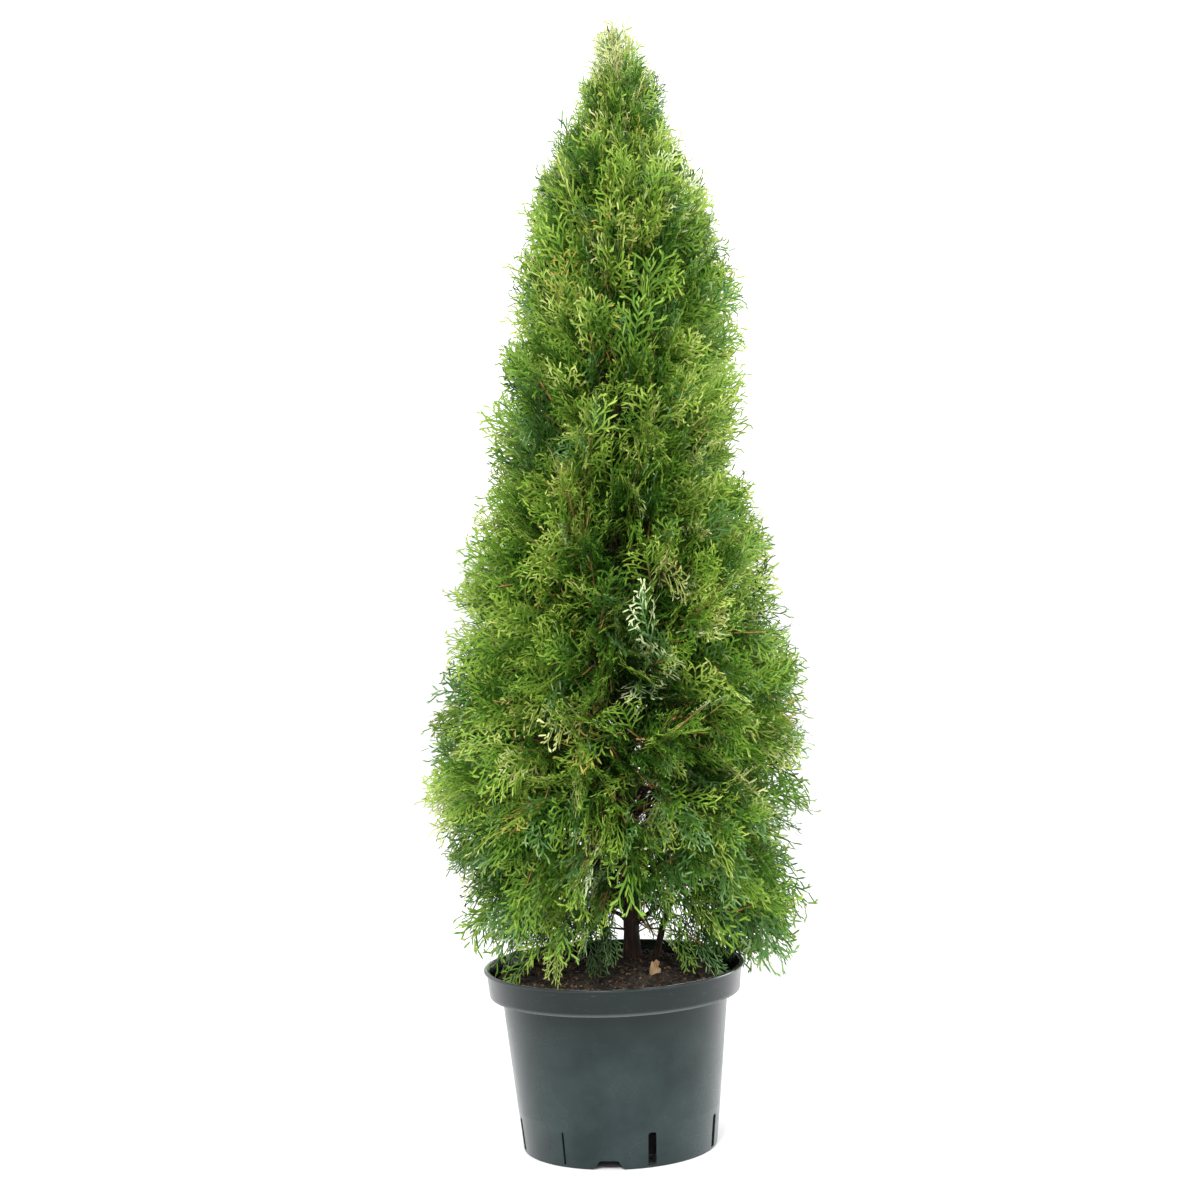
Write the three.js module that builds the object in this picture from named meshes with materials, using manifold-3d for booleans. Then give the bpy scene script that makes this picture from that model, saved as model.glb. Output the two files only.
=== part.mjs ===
// A potted thuja: a young evergreen with a teardrop crown, growing in a black nursery pot.
// Millimetres, +Z up. The origin is the middle of the pot's underside, on the ground. -Y is the front.
//
// The pot and its soil are turned shapes. The trunk, stems and boughs are bent, tapering cylinders. The
// crown is a shell of foliage masses in tiers round the trunk: each is a boxy ball that fills its own cell
// of the crown. The boughs are cut off where they enter a mass, so every solid stands clear of the next.
import * as THREE from "three";
import { mergeVertices } from "three/addons/utils/BufferGeometryUtils.js";
import Module from "manifold-3d";

const wasm = await Module();
wasm.setup();

// ---------------------------------------------------------------- driving dimensions

const CLEARANCE = 0.4; // between solids that touch on the real plant

// Pot
const RIM_RADIUS = 173;
const POT_HEIGHT = 242;
const BAND_HEIGHT = 36; // the wider band under the rim
const BAND_FOOT_RADIUS = 166;
const SHOULDER_RADIUS = 150; // the wall just under the band
const FOOT_RADIUS = 129;
const WALL = 2.5;
const LIP = 3.5; // the bead round the rim, in height and in how far it stands out
const LIP_EDGE = 1; // the slope cut off the bead's outer edge
const FOOT_EDGE = 1.5; // the slope cut off the wall's lower edge
const FOOT_RING_WIDTH = 4;
const MOAT_DEPTH = 14; // how far the underside is raised between its middle pad and the foot ring
const MOAT_INNER_RADIUS = 60;
const MOAT_SLOPE = 4;
const POT_SEGMENTS = 42;

// Drainage slots in the wall, and notches in the foot ring
const SLOTS_DEG = [-72, -21, 30, 82, 135, 193, -124];
const SLOT_WIDTH = 11;
const SLOT_BOTTOM = 4;
const SLOT_TOP = 47;
const CLOSED_SLOT = 6; // this one is moulded almost shut
const CLOSED_SLOT_WIDTH = 3;
const NOTCH_COUNT = 3;
const NOTCH_FOOT_WIDTH = 52;
const NOTCH_TOP_WIDTH = 28;
const NOTCH_HEIGHT = 12;
const FIRST_NOTCH_DEG = -97;

// Soil: a low mound with a level patch that the stems stand on
const SOIL_EDGE_HEIGHT = 219;
const SOIL_TOP = 239;
const SOIL_PATCH_RADIUS = 48;
const SOIL_SLOPE_WIDTH = 70; // round the patch, from its edge down to the level of the soil's own edge
const SOIL_CLODS = 1.6; // how uneven its surface is
const SOIL_RINGS = [0, 28, 48, 84, 118, 148]; // the radii at which its surface bends

// Trunk: leans a little to +X, from the soil to the tip
const TRUNK_FOOT = new THREE.Vector3(25, 20, SOIL_TOP + CLEARANCE);
const TRUNK_TIP = new THREE.Vector3(44, 0, 1470);
const TRUNK_BOW = 6;
const TRUNK_FOOT_RADIUS = 13.5;
const TRUNK_TIP_RADIUS = 1.4;
const ROOT_FLARE = 0.55; // how much wider the foot is than the trunk over it
const ROOT_FLARE_HEIGHT = 14;
const ROOT_RIDGES = 5; // round the flare
const ROOT_RIDGE_DEPTH = 0.35; // as a share of the flare
const TRUNK_SIDES = 9;
const TRUNK_STEPS = 20;
const STEM_SIDES = 8;
const BOUGH_SIDES = 6;
const LIMB_STEPS = 4; // along a stem or a bough
const UPRIGHT_FOOT = 30; // how far a stem stands upright before it leans

// Crown: [height, radius] down its outline, from the skirt over the pot to the tip
const CROWN_OUTLINE = [
  [238, 200],
  [320, 226],
  [520, 264],
  [640, 243],
  [760, 208],
  [880, 170],
  [1060, 158],
  [1180, 141],
  [1240, 122],
  [1310, 80],
  [1390, 56],
  [1425, 32],
  [1478, 16],
];
const MASS_BOXINESS = 0.42; // 1 is a ball, less fills its cell more squarely
const MASS_UNEVENNESS = 0.07;
const SIDE_UNEVENNESS = 0.4; // how much of it shows between neighbours, where masses have little room
const TIER_WAVE = 20; // how far the surface between two tiers rises and falls at the outline
const TIER_WAVES = 3; // round the crown
const WIDE_CROWN = 150; // where the crown's radius is less than this, the waves are lower
const SIDE_SWAY_DEG = 7; // how far the surface between two masses of a tier swings round the trunk
const MASS_GAP = 4; // between neighbouring masses

const COLOURS = {
  pot: 0x3c4446,
  soil: 0x2a1d17,
  bark: 0x4a3428,
  bough: 0x7a4a32,
  foliage: 0x5c8a2c,
};

const radians = THREE.MathUtils.degToRad;
const lerp = THREE.MathUtils.lerp;

// ---------------------------------------------------------------- solids

// A closed three.js geometry as a solid, with merged vertices and no collapsed faces.
function solidOf(geometry) {
  const bare = geometry.clone();
  for (const name of Object.keys(bare.attributes)) {
    if (name !== "position") bare.deleteAttribute(name);
  }
  const merged = mergeVertices(bare, 1e-3);
  const corners = merged.index.array;
  const kept = [];
  for (let i = 0; i < corners.length; i += 3) {
    const [a, b, c] = [corners[i], corners[i + 1], corners[i + 2]];
    if (a !== b && b !== c && c !== a) kept.push(a, b, c);
  }
  return new wasm.Manifold(
    new wasm.Mesh({
      numProp: 3,
      vertProperties: new Float32Array(merged.attributes.position.array),
      triVerts: new Uint32Array(kept),
    }),
  );
}

function geometryOf(solid) {
  const mesh = solid.getMesh();
  return new THREE.BufferGeometry()
    .setAttribute("position", new THREE.BufferAttribute(mesh.vertProperties, 3))
    .setIndex(new THREE.BufferAttribute(mesh.triVerts, 1))
    .toNonIndexed();
}

function boxesMeet(a, b) {
  return [0, 1, 2].every((k) => a.min[k] <= b.max[k] && b.min[k] <= a.max[k]);
}

// A solid less those of the cutters that reach it.
function cutBack(solid, cutters) {
  const box = solid.boundingBox();
  const near = cutters.filter((cutter) => boxesMeet(box, cutter.boundingBox()));
  return near.length > 0 ? solid.subtract(wasm.Manifold.union(near)) : solid;
}

const group = new THREE.Group();

function addMesh(name, geometry, colour, roughness = 0.8) {
  geometry.computeVertexNormals();
  const material = new THREE.MeshStandardMaterial({
    color: colour,
    roughness,
    metalness: 0,
    flatShading: true,
  });
  const mesh = new THREE.Mesh(geometry, material);
  mesh.name = name;
  group.add(mesh);
}

// Turns a [radius, height] profile, listed from the axis round to the axis, about the Z axis.
function turned(profile, segments) {
  const points = profile.map(([r, z]) => new THREE.Vector2(r, z));
  return new THREE.LatheGeometry(points, segments).rotateX(Math.PI / 2);
}

// ---------------------------------------------------------------- pot

const BAND_FOOT = POT_HEIGHT - BAND_HEIGHT;
const FLOOR_TOP = MOAT_DEPTH + WALL;

// The wall's outer radius at a height under the band.
function wallRadius(z) {
  return lerp(FOOT_RADIUS, SHOULDER_RADIUS, z / BAND_FOOT);
}

// The inner surface from the rim down to the middle of the floor, moved inwards by a gap.
function innerProfile(gap, top) {
  const inBand = (z) =>
    lerp(BAND_FOOT_RADIUS, RIM_RADIUS - LIP, (z - BAND_FOOT) / BAND_HEIGHT) -
    WALL -
    gap;
  const ledge = BAND_FOOT + WALL + gap;
  const floor = FLOOR_TOP + gap;
  const pad = WALL + gap;
  return [
    [inBand(top), top],
    [inBand(ledge), ledge],
    [wallRadius(ledge) - WALL - gap, ledge],
    [wallRadius(floor) - WALL - gap, floor],
    [MOAT_INNER_RADIUS - gap, floor],
    [MOAT_INNER_RADIUS - MOAT_SLOPE - gap, pad],
    [0, pad],
  ];
}

function potProfile() {
  const underside = [
    [0, 0],
    [MOAT_INNER_RADIUS - MOAT_SLOPE + WALL, 0],
    [MOAT_INNER_RADIUS + WALL, MOAT_DEPTH],
    [FOOT_RADIUS - FOOT_RING_WIDTH, MOAT_DEPTH],
    [FOOT_RADIUS - FOOT_RING_WIDTH, 0],
  ];
  const outside = [
    [FOOT_RADIUS - FOOT_EDGE, 0],
    [FOOT_RADIUS, FOOT_EDGE],
    [SHOULDER_RADIUS, BAND_FOOT],
    [BAND_FOOT_RADIUS, BAND_FOOT],
    [RIM_RADIUS - LIP, POT_HEIGHT - LIP],
    [RIM_RADIUS, POT_HEIGHT - LIP],
    [RIM_RADIUS, POT_HEIGHT - LIP_EDGE],
    [RIM_RADIUS - LIP_EDGE, POT_HEIGHT],
  ];
  return [...underside, ...outside, ...innerProfile(0, POT_HEIGHT)];
}

// A flat outline in (across, up), pushed outwards through the wall at an azimuth.
function radialCutter(outline, azimuthDeg, from, to) {
  const cutter = new THREE.ExtrudeGeometry(outline, {
    depth: to - from,
    bevelEnabled: false,
    curveSegments: 2,
  });
  // The outline's x runs across, its y runs up and its depth runs outwards along +X.
  const axes = new THREE.Matrix4().makeBasis(
    new THREE.Vector3(0, 1, 0),
    new THREE.Vector3(0, 0, 1),
    new THREE.Vector3(1, 0, 0),
  );
  cutter.applyMatrix4(axes).translate(from, 0, 0);
  cutter.rotateZ(radians(azimuthDeg));
  return solidOf(cutter);
}

function slotOutline(width) {
  const half = width / 2;
  const corner = width / 3;
  const outline = new THREE.Shape();
  outline.moveTo(-half, SLOT_BOTTOM);
  outline.lineTo(half, SLOT_BOTTOM);
  outline.lineTo(half, SLOT_TOP - corner);
  outline.quadraticCurveTo(half, SLOT_TOP, half - corner, SLOT_TOP);
  outline.lineTo(corner - half, SLOT_TOP);
  outline.quadraticCurveTo(-half, SLOT_TOP, -half, SLOT_TOP - corner);
  return outline;
}

// A notch has flanks that curve outwards to its foot.
function notchOutline() {
  const below = -2;
  const foot = NOTCH_FOOT_WIDTH / 2;
  const top = NOTCH_TOP_WIDTH / 2;
  const flank = NOTCH_HEIGHT / 4;
  const outline = new THREE.Shape();
  outline.moveTo(-foot, below);
  outline.lineTo(foot, below);
  outline.quadraticCurveTo(top + flank, flank, top, NOTCH_HEIGHT - flank);
  outline.lineTo(top - flank, NOTCH_HEIGHT);
  outline.lineTo(flank - top, NOTCH_HEIGHT);
  outline.lineTo(-top, NOTCH_HEIGHT - flank);
  outline.quadraticCurveTo(-top - flank, flank, -foot, below);
  return outline;
}

function makePot() {
  let pot = solidOf(turned(potProfile(), POT_SEGMENTS));
  const inside = FOOT_RADIUS - 2 * FOOT_RING_WIDTH;
  const outside = SHOULDER_RADIUS;
  SLOTS_DEG.forEach((azimuth, i) => {
    const width = i === CLOSED_SLOT ? CLOSED_SLOT_WIDTH : SLOT_WIDTH;
    pot = pot.subtract(radialCutter(slotOutline(width), azimuth, inside, outside));
  });
  for (let i = 0; i < NOTCH_COUNT; i += 1) {
    const azimuth = FIRST_NOTCH_DEG + (360 / NOTCH_COUNT) * i;
    pot = pot.subtract(radialCutter(notchOutline(), azimuth, inside, outside));
  }
  const tolerance = 0.01; // drops the needless vertices that the cutters leave
  addMesh("pot", geometryOf(pot.simplify(tolerance)), COLOURS.pot, 0.45);
}

// ---------------------------------------------------------------- soil

function soilHeight(x, y, edgeRadius) {
  const fromFoot = Math.hypot(x - TRUNK_FOOT.x, y - TRUNK_FOOT.y);
  const fromAxis = Math.hypot(x, y);
  const slope = Math.min(1, Math.max(0, (fromFoot - SOIL_PATCH_RADIUS) / SOIL_SLOPE_WIDTH));
  const mound = lerp(SOIL_TOP, SOIL_EDGE_HEIGHT, slope);
  const clods = Math.sin(x * 0.19 + 1) * Math.cos(y * 0.23) * SOIL_CLODS;
  return mound + (fromAxis < edgeRadius - 1 ? clods * slope : 0);
}

function makeSoil() {
  const inner = innerProfile(CLEARANCE, SOIL_EDGE_HEIGHT);
  const edgeRadius = inner[0][0];
  const top = SOIL_RINGS.map((r) => [r, SOIL_TOP]);
  const profile = [...inner.reverse(), ...top.reverse()];
  const geometry = turned(profile, POT_SEGMENTS / 2);
  const place = geometry.attributes.position;
  for (let i = 0; i < place.count; i += 1) {
    if (place.getZ(i) > SOIL_TOP - 0.01) {
      place.setZ(i, soilHeight(place.getX(i), place.getY(i), edgeRadius));
    }
  }
  addMesh("potting_soil", geometryOf(solidOf(geometry)), COLOURS.soil, 1);
}

// ---------------------------------------------------------------- wood

// A tapering limb: a cylinder whose cross-sections are carried along a curve. flare(t, angle) widens it.
function limb(curve, footRadius, tipRadius, sides, steps, flare = () => 1) {
  const tube = new THREE.CylinderGeometry(tipRadius, footRadius, 1, sides, steps);
  const place = tube.attributes.position;
  for (let i = 0; i < place.count; i += 1) {
    const t = place.getY(i) + 0.5;
    const [across, back] = [place.getX(i), place.getZ(i)];
    const wide = flare(t, Math.atan2(back, across));
    const along = curve.getTangent(t);
    const side = new THREE.Vector3(0, 1, 0).cross(along).normalize();
    const depth = along.clone().cross(side);
    const point = curve.getPoint(t);
    point.addScaledVector(side, across * wide);
    point.addScaledVector(depth, -back * wide);
    place.setXYZ(i, point.x, point.y, point.z);
  }
  return solidOf(tube);
}

const trunkCurve = new THREE.CatmullRomCurve3([
  TRUNK_FOOT,
  TRUNK_FOOT.clone().add(new THREE.Vector3(0, 0, 40)),
  TRUNK_FOOT.clone().lerp(TRUNK_TIP, 0.4).add(new THREE.Vector3(-TRUNK_BOW, TRUNK_BOW, 0)),
  TRUNK_FOOT.clone().lerp(TRUNK_TIP, 0.75).add(new THREE.Vector3(TRUNK_BOW, -TRUNK_BOW, 0)),
  TRUNK_TIP,
]);

// The trunk's middle at a height, found by halving, because the curve only climbs.
function trunkAt(z) {
  let [low, high] = [0, 1];
  for (let i = 0; i < 24; i += 1) {
    const middle = (low + high) / 2;
    if (trunkCurve.getPoint(middle).z < z) low = middle;
    else high = middle;
  }
  return trunkCurve.getPoint(low);
}

function trunkSolid(extra) {
  const height = TRUNK_TIP.z - TRUNK_FOOT.z;
  const flare = (t, angle) =>
    1 +
    ROOT_FLARE *
      Math.exp((-t * height) / ROOT_FLARE_HEIGHT) *
      (1 + ROOT_RIDGE_DEPTH * Math.cos(ROOT_RIDGES * angle));
  return limb(
    trunkCurve,
    TRUNK_FOOT_RADIUS + extra,
    TRUNK_TIP_RADIUS + extra,
    TRUNK_SIDES,
    TRUNK_STEPS,
    flare,
  );
}

// Stems that rise from the soil beside the trunk: the foot's place from the trunk's foot, then how far the
// stem leans and climbs, with its radii.
const STEMS = {
  stem_left: { foot: [-33, -6], lean: [-22, 10], climb: 240, radii: [5.5, 3.5] },
  stem_right: { foot: [31, 4], lean: [52, 8], climb: 150, radii: [4, 2.2] },
};

function stemCurve({ foot, lean, climb }) {
  const start = new THREE.Vector3(
    TRUNK_FOOT.x + foot[0],
    TRUNK_FOOT.y + foot[1],
    TRUNK_FOOT.z,
  );
  const upright = start.clone().add(new THREE.Vector3(0, 0, UPRIGHT_FOOT));
  const middle = start
    .clone()
    .add(new THREE.Vector3(lean[0] * 0.4, lean[1] * 0.4, climb * 0.55));
  const end = start.clone().add(new THREE.Vector3(lean[0], lean[1], climb));
  return new THREE.CatmullRomCurve3([start, upright, middle, end]);
}

// ---------------------------------------------------------------- crown

function crownRadius(z) {
  const last = CROWN_OUTLINE.length - 1;
  if (z <= CROWN_OUTLINE[0][0]) return CROWN_OUTLINE[0][1];
  if (z >= CROWN_OUTLINE[last][0]) return CROWN_OUTLINE[last][1];
  const i = CROWN_OUTLINE.findIndex(([height]) => height > z);
  const [[z0, r0], [z1, r1]] = [CROWN_OUTLINE[i - 1], CROWN_OUTLINE[i]];
  return lerp(r0, r1, THREE.MathUtils.smoothstep(z, z0, z1));
}

// The surfaces that part one tier of foliage from the next, from the skirt to the tip. They are cones, each
// given by its height at the trunk and at the outline: low down, where sprays droop, they dip outwards, and
// higher up they climb outwards.
const TIER_CONES = [
  [326, 243],
  [398, 352],
  [536, 520],
  [680, 702],
  [836, 882],
  [1004, 1060],
  [1160, 1222],
  [1286, 1336],
  [1388, 1418],
  [1478, 1478],
];

// The masses of each tier, from the skirt up. Each mass is [from, to, reach]: the azimuths it lies between,
// in degrees from +X, and how far it comes out, as a share of the outline. inner is how far they all keep
// from the trunk, and detail is how often the edges of the icosahedron that each starts from are split.
const TIERS = [
  {
    name: "skirt",
    inner: 60,
    detail: 2,
    masses: [[146, 210, 1.04], [-34, 26, 1.03], [-136, -80, 0.84], [66, 122, 0.92]],
  },
  {
    name: "lower",
    inner: 46,
    detail: 2,
    masses: [
      [-178, -124, 1.03],
      [-124, -68, 0.96],
      [-66, -8, 0.98],
      [-6, 52, 0.96],
      [54, 116, 1],
      [118, 180, 1.06],
    ],
  },
  {
    name: "belly",
    inner: 40,
    detail: 2,
    masses: [
      [148, 208, 1.05],
      [-150, -92, 1],
      [-92, -34, 0.97],
      [-34, 28, 0.98],
      [28, 88, 1],
      [88, 146, 1],
    ],
  },
  {
    name: "waist",
    inner: 32,
    detail: 2,
    masses: [[166, 236, 1.02], [-124, -54, 1], [-54, 20, 0.98], [22, 92, 1], [94, 164, 1]],
  },
  {
    name: "middle",
    inner: 26,
    detail: 2,
    masses: [[134, 224, 1.06], [-136, -50, 1], [-50, 42, 1.03], [44, 132, 1]],
  },
  {
    name: "upper",
    inner: 20,
    detail: 2,
    masses: [[-192, -74, 1.06], [-74, 46, 1.04], [48, 166, 1]],
  },
  {
    name: "shoulder",
    inner: 15,
    detail: 2,
    masses: [[96, 268, 1.1], [-88, 92, 1.14]],
  },
  {
    name: "top",
    inner: 11,
    detail: 1,
    masses: [[-60, 116, 1.2], [118, 298, 0.94]],
  },
  {
    name: "tip",
    inner: 7,
    detail: 1,
    masses: [[100, 276, 0.95], [-82, 98, 0.9]],
  },
];

// A smooth unevenness from -1 to 1 over the directions of a ball, its own for each seed.
function uneven(direction, seed) {
  let sum = 0;
  for (let i = 1; i <= 3; i += 1) {
    const turn = seed * 2.39996 + i * 1.7;
    const along =
      direction.x * Math.cos(turn) +
      direction.y * Math.sin(turn) +
      direction.z * Math.cos(turn * 1.9);
    sum += Math.sin(along * (1.6 + 0.9 * i) + turn * 3) / i;
  }
  return sum / 1.8;
}

// How high one of the tier cones stands at a distance from the trunk and an azimuth in radians.
function coneHeight(level, radius, turn) {
  const [atTrunk, atOutline] = TIER_CONES[level];
  const outline = crownRadius(atOutline);
  const share = radius / outline;
  const isEnd = level === 0 || level === TIER_CONES.length - 1;
  const wave = isEnd ? 0 : TIER_WAVE * Math.sin(TIER_WAVES * turn + 2.2 * level);
  return lerp(atTrunk, atOutline, share) + wave * share * Math.min(1, outline / WIDE_CROWN);
}

// One foliage mass: a boxy, uneven ball in (round, out, up) that fills its cell between two tier cones, two
// azimuths, the trunk and the outline. A margin makes it larger on every side.
function massSolid(level, [from, to, reach], seed, margin = 0) {
  const { inner, detail } = TIERS[level];
  const ball = new THREE.IcosahedronGeometry(1, detail);
  const place = ball.attributes.position;
  const direction = new THREE.Vector3();
  const boxy = (s) => Math.sign(s) * Math.abs(s) ** MASS_BOXINESS;
  for (let i = 0; i < place.count; i += 1) {
    direction.fromBufferAttribute(place, i);
    const bump = MASS_UNEVENNESS * uneven(direction, seed);
    const [round, out, up] = direction.toArray().map(boxy);
    const share = (1 - SIDE_UNEVENNESS * (MASS_UNEVENNESS - bump)) / 2;
    const sway = SIDE_SWAY_DEG * Math.sin(3 * up + level);
    const turn = radians((from + to) / 2 + sway - (to - from) * round * share);
    let radius = inner;
    let z = 0;
    for (let pass = 0; pass < 4; pass += 1) {
      const floor = coneHeight(level, radius, turn);
      z = lerp(floor, coneHeight(level + 1, radius, turn), 0.5 + up * share);
      radius = lerp(inner, crownRadius(z) * reach * (1 + bump), (1 + out) / 2);
    }
    const inset = ((margin - MASS_GAP / 2) * round) / (radius + MASS_GAP);
    const reached = radius + margin * out;
    const axis = trunkAt(z);
    place.setXYZ(
      i,
      axis.x + reached * Math.cos(turn - inset),
      axis.y + reached * Math.sin(turn - inset),
      z + (margin - MASS_GAP / 2) * up,
    );
  }
  return solidOf(ball);
}

function makeMasses() {
  return TIERS.flatMap(({ name, masses }, level) =>
    masses.map((lie, i) => ({
      name: `${name}_foliage_${i + 1}`,
      level,
      lie,
      solid: massSolid(level, lie, level * 7 + i),
      cutter: massSolid(level, lie, level * 7 + i, CLEARANCE),
    })),
  );
}

// The boughs that show between the masses: the mass each one carries, how far below the mass's middle it
// leaves the trunk, and its radius there.
const BOUGHS = [
  ["lower_foliage_1", 70, 5],
  ["lower_foliage_2", 92, 4.5],
  ["lower_foliage_3", 60, 5],
  ["lower_foliage_5", 84, 5],
  ["belly_foliage_1", 74, 5],
  ["belly_foliage_2", 96, 4.5],
  ["belly_foliage_4", 62, 5],
  ["belly_foliage_5", 86, 4.5],
  ["waist_foliage_1", 92, 4],
  ["waist_foliage_2", 66, 4],
  ["waist_foliage_3", 104, 4],
  ["waist_foliage_5", 78, 4],
  ["middle_foliage_2", 84, 3.5],
  ["middle_foliage_3", 104, 3.5],
];
const BOUGH_TAPER = 0.6;
const BOUGH_SAG = 6;
const SMALLEST_PIECE = 300; // cubic millimetres: a cut leaves slivers of a limb that are smaller

// A bough climbs from the trunk's middle line to the middle of its mass.
function boughCurve({ level, lie }, drop) {
  const [from, to] = lie;
  const { inner } = TIERS[level];
  const turn = radians((from + to) / 2);
  const height = lerp(coneHeight(level, 2 * inner, turn), coneHeight(level + 1, 2 * inner, turn), 0.5);
  const start = trunkAt(height - drop);
  const out = (crownRadius(height) + inner) / 2;
  const outwards = new THREE.Vector3(Math.cos(turn), Math.sin(turn), 0);
  const end = trunkAt(height).addScaledVector(outwards, out);
  const bend = start.clone().lerp(end, 0.5);
  bend.z -= BOUGH_SAG;
  return new THREE.CatmullRomCurve3([start, bend, end]);
}

// Of the pieces a limb is cut into, the one nearest its foot.
function footPiece(solid, foot) {
  const distance = (body) => {
    const { min, max } = body.boundingBox();
    const box = new THREE.Box3(new THREE.Vector3(...min), new THREE.Vector3(...max));
    return box.distanceToPoint(foot);
  };
  const pieces = solid.decompose().filter((body) => body.volume() > SMALLEST_PIECE);
  return pieces.sort((a, b) => distance(a) - distance(b))[0];
}

function makePlant() {
  addMesh("trunk", geometryOf(trunkSolid(0)), COLOURS.bark, 0.95);
  const masses = makeMasses();
  const cutters = [trunkSolid(CLEARANCE), ...masses.map(({ cutter }) => cutter)];
  const addLimb = (name, curve, footRadius, tipRadius, sides, colour) => {
    const whole = limb(curve, footRadius, tipRadius, sides, LIMB_STEPS);
    const piece = footPiece(cutBack(whole, cutters), curve.getPoint(0));
    addMesh(name, geometryOf(piece), colour, 0.95);
    const wider = limb(curve, footRadius + CLEARANCE, tipRadius + CLEARANCE, sides, LIMB_STEPS);
    cutters.push(wider);
  };
  for (const [name, stem] of Object.entries(STEMS)) {
    addLimb(name, stemCurve(stem), ...stem.radii, STEM_SIDES, COLOURS.bark);
  }
  BOUGHS.forEach(([massName, drop, radius], i) => {
    const mass = masses.find(({ name }) => name === massName);
    const curve = boughCurve(mass, drop);
    addLimb(`bough_${i + 1}`, curve, radius, radius * BOUGH_TAPER, BOUGH_SIDES, COLOURS.bough);
  });
  for (const { name, solid } of masses) {
    addMesh(name, geometryOf(solid), COLOURS.foliage, 0.7);
  }
}

makePot();
makeSoil();
makePlant();

export default group;
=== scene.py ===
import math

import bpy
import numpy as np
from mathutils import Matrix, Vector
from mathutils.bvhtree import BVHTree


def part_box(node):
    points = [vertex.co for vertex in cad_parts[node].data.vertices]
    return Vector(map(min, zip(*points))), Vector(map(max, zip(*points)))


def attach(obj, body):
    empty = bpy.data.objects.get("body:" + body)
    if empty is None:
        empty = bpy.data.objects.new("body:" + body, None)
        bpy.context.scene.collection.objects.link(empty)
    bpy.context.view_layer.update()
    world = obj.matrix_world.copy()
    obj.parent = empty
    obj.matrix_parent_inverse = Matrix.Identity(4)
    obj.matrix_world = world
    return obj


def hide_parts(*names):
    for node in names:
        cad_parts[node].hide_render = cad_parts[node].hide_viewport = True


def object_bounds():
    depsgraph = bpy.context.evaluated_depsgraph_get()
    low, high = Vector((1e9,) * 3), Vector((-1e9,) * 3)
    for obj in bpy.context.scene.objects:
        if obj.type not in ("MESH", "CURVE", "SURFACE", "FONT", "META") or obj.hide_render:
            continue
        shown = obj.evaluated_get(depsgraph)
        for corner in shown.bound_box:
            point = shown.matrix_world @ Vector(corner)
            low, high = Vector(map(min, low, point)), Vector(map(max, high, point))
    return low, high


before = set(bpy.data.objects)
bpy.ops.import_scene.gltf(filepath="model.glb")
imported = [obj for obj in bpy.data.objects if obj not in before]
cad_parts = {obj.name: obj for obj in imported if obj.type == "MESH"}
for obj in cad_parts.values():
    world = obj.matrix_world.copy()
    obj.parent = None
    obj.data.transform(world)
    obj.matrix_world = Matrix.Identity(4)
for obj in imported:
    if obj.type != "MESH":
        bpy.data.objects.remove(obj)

# A potted thuja: a young evergreen with a teardrop crown, in a round nursery pot.
# Units are metres, +Z is up and the front faces -Y.
#
# The crown is grown by rule. Branches leave the trunk by the golden angle and reach for the outline of the
# CAD model's foliage masses. Twigs fork from them in flat fans, and every twig carries flat sprays of
# scale-leaf ribbons. All randomness is seeded.

cad_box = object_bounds()

# ---- driving values, in metres and degrees

SEED = 11
GOLDEN_ANGLE = math.radians(137.508)

# The camera stands in front of the plant, looks a little down and leans a little
EYE_DISTANCE, EYE_HEIGHT = 3.316, 0.905
EYE_DIP, EYE_LEAN = 3.09, -2.18
LENS, SENSOR = 75.56, 36.0  # millimetres

BRANCH_COUNT = 256
STEEPEST_BRANCH = 84
LOWEST_BRANCH, HIGHEST_BRANCH = 0.285, 1.425
TWIG_SPACING = 0.016
TWIG_FORK = 44
LONGEST_TWIG = 0.105
BARE_TWIGS = 110
SPRAY_SPACING = 0.020
SPRAY_LENGTH = 0.102
SPRAY_TEMPLATES = 14
TOP_SPRAYS = 60
RIBBON_WIDTH = 0.0024
PIECE_LIMIT = 170_000  # leaf triangles in one piece
HIDDEN_TIP = 0.020  # the sprays reach over the tip of the trunk, whose bark ends this much lower

# What changes with height: how steeply branches leave the trunk, how much steeper they set out, how close
# they are and what share of each is bare, and how steeply sprays point, how far they droop and their size
BRANCH_RISE = {0.30: -2, 0.36: 10, 0.45: 24, 0.60: 36, 0.80: 50, 1.00: 58, 1.20: 64, 1.35: 70, 1.45: 78}
BRANCH_ARCH = {0.30: 48, 0.50: 22}
BRANCH_CROWDING = {0.36: 1.25, 0.52: 1.0, 1.15: 1.0, 1.35: 1.5}
BARE_SHARE = {0.3: 0.34, 0.5: 0.24, 1.2: 0.12}
SPRAY_RISE = {0.28: -42, 0.38: -25, 0.48: 0, 0.60: 22, 0.75: 38, 0.95: 48, 1.20: 58, 1.36: 70, 1.46: 82}
SPRAY_DROOP = {0.3: 0.22, 0.7: 0.10, 1.1: -0.06}
SPRAY_SIZE = {1.15: 1.0, 1.42: 0.62}

# One spray, whose length is 1: its angles in degrees, and how far side shoots reach against their place
SHOOTS = 10
SHOOT_ANGLE, SHOOT_CURL = (32, 44), (2, 12)
SHOOT_REACH = {0.0: 0.55, 0.14: 0.85, 0.34: 1.0, 0.7: 0.7, 1.0: 0.35}
LEAF_ANGLE, LEAF_LENGTH, LEAF_SPACING = (26, 36), (0.13, 0.20), 0.078
FORK_ANGLE, FORK_LENGTH, FORK_SHARE = (24, 34), (0.07, 0.10), 0.45
SHOULDER = 0.68  # where a leaf is widest, as a share of its length

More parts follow.
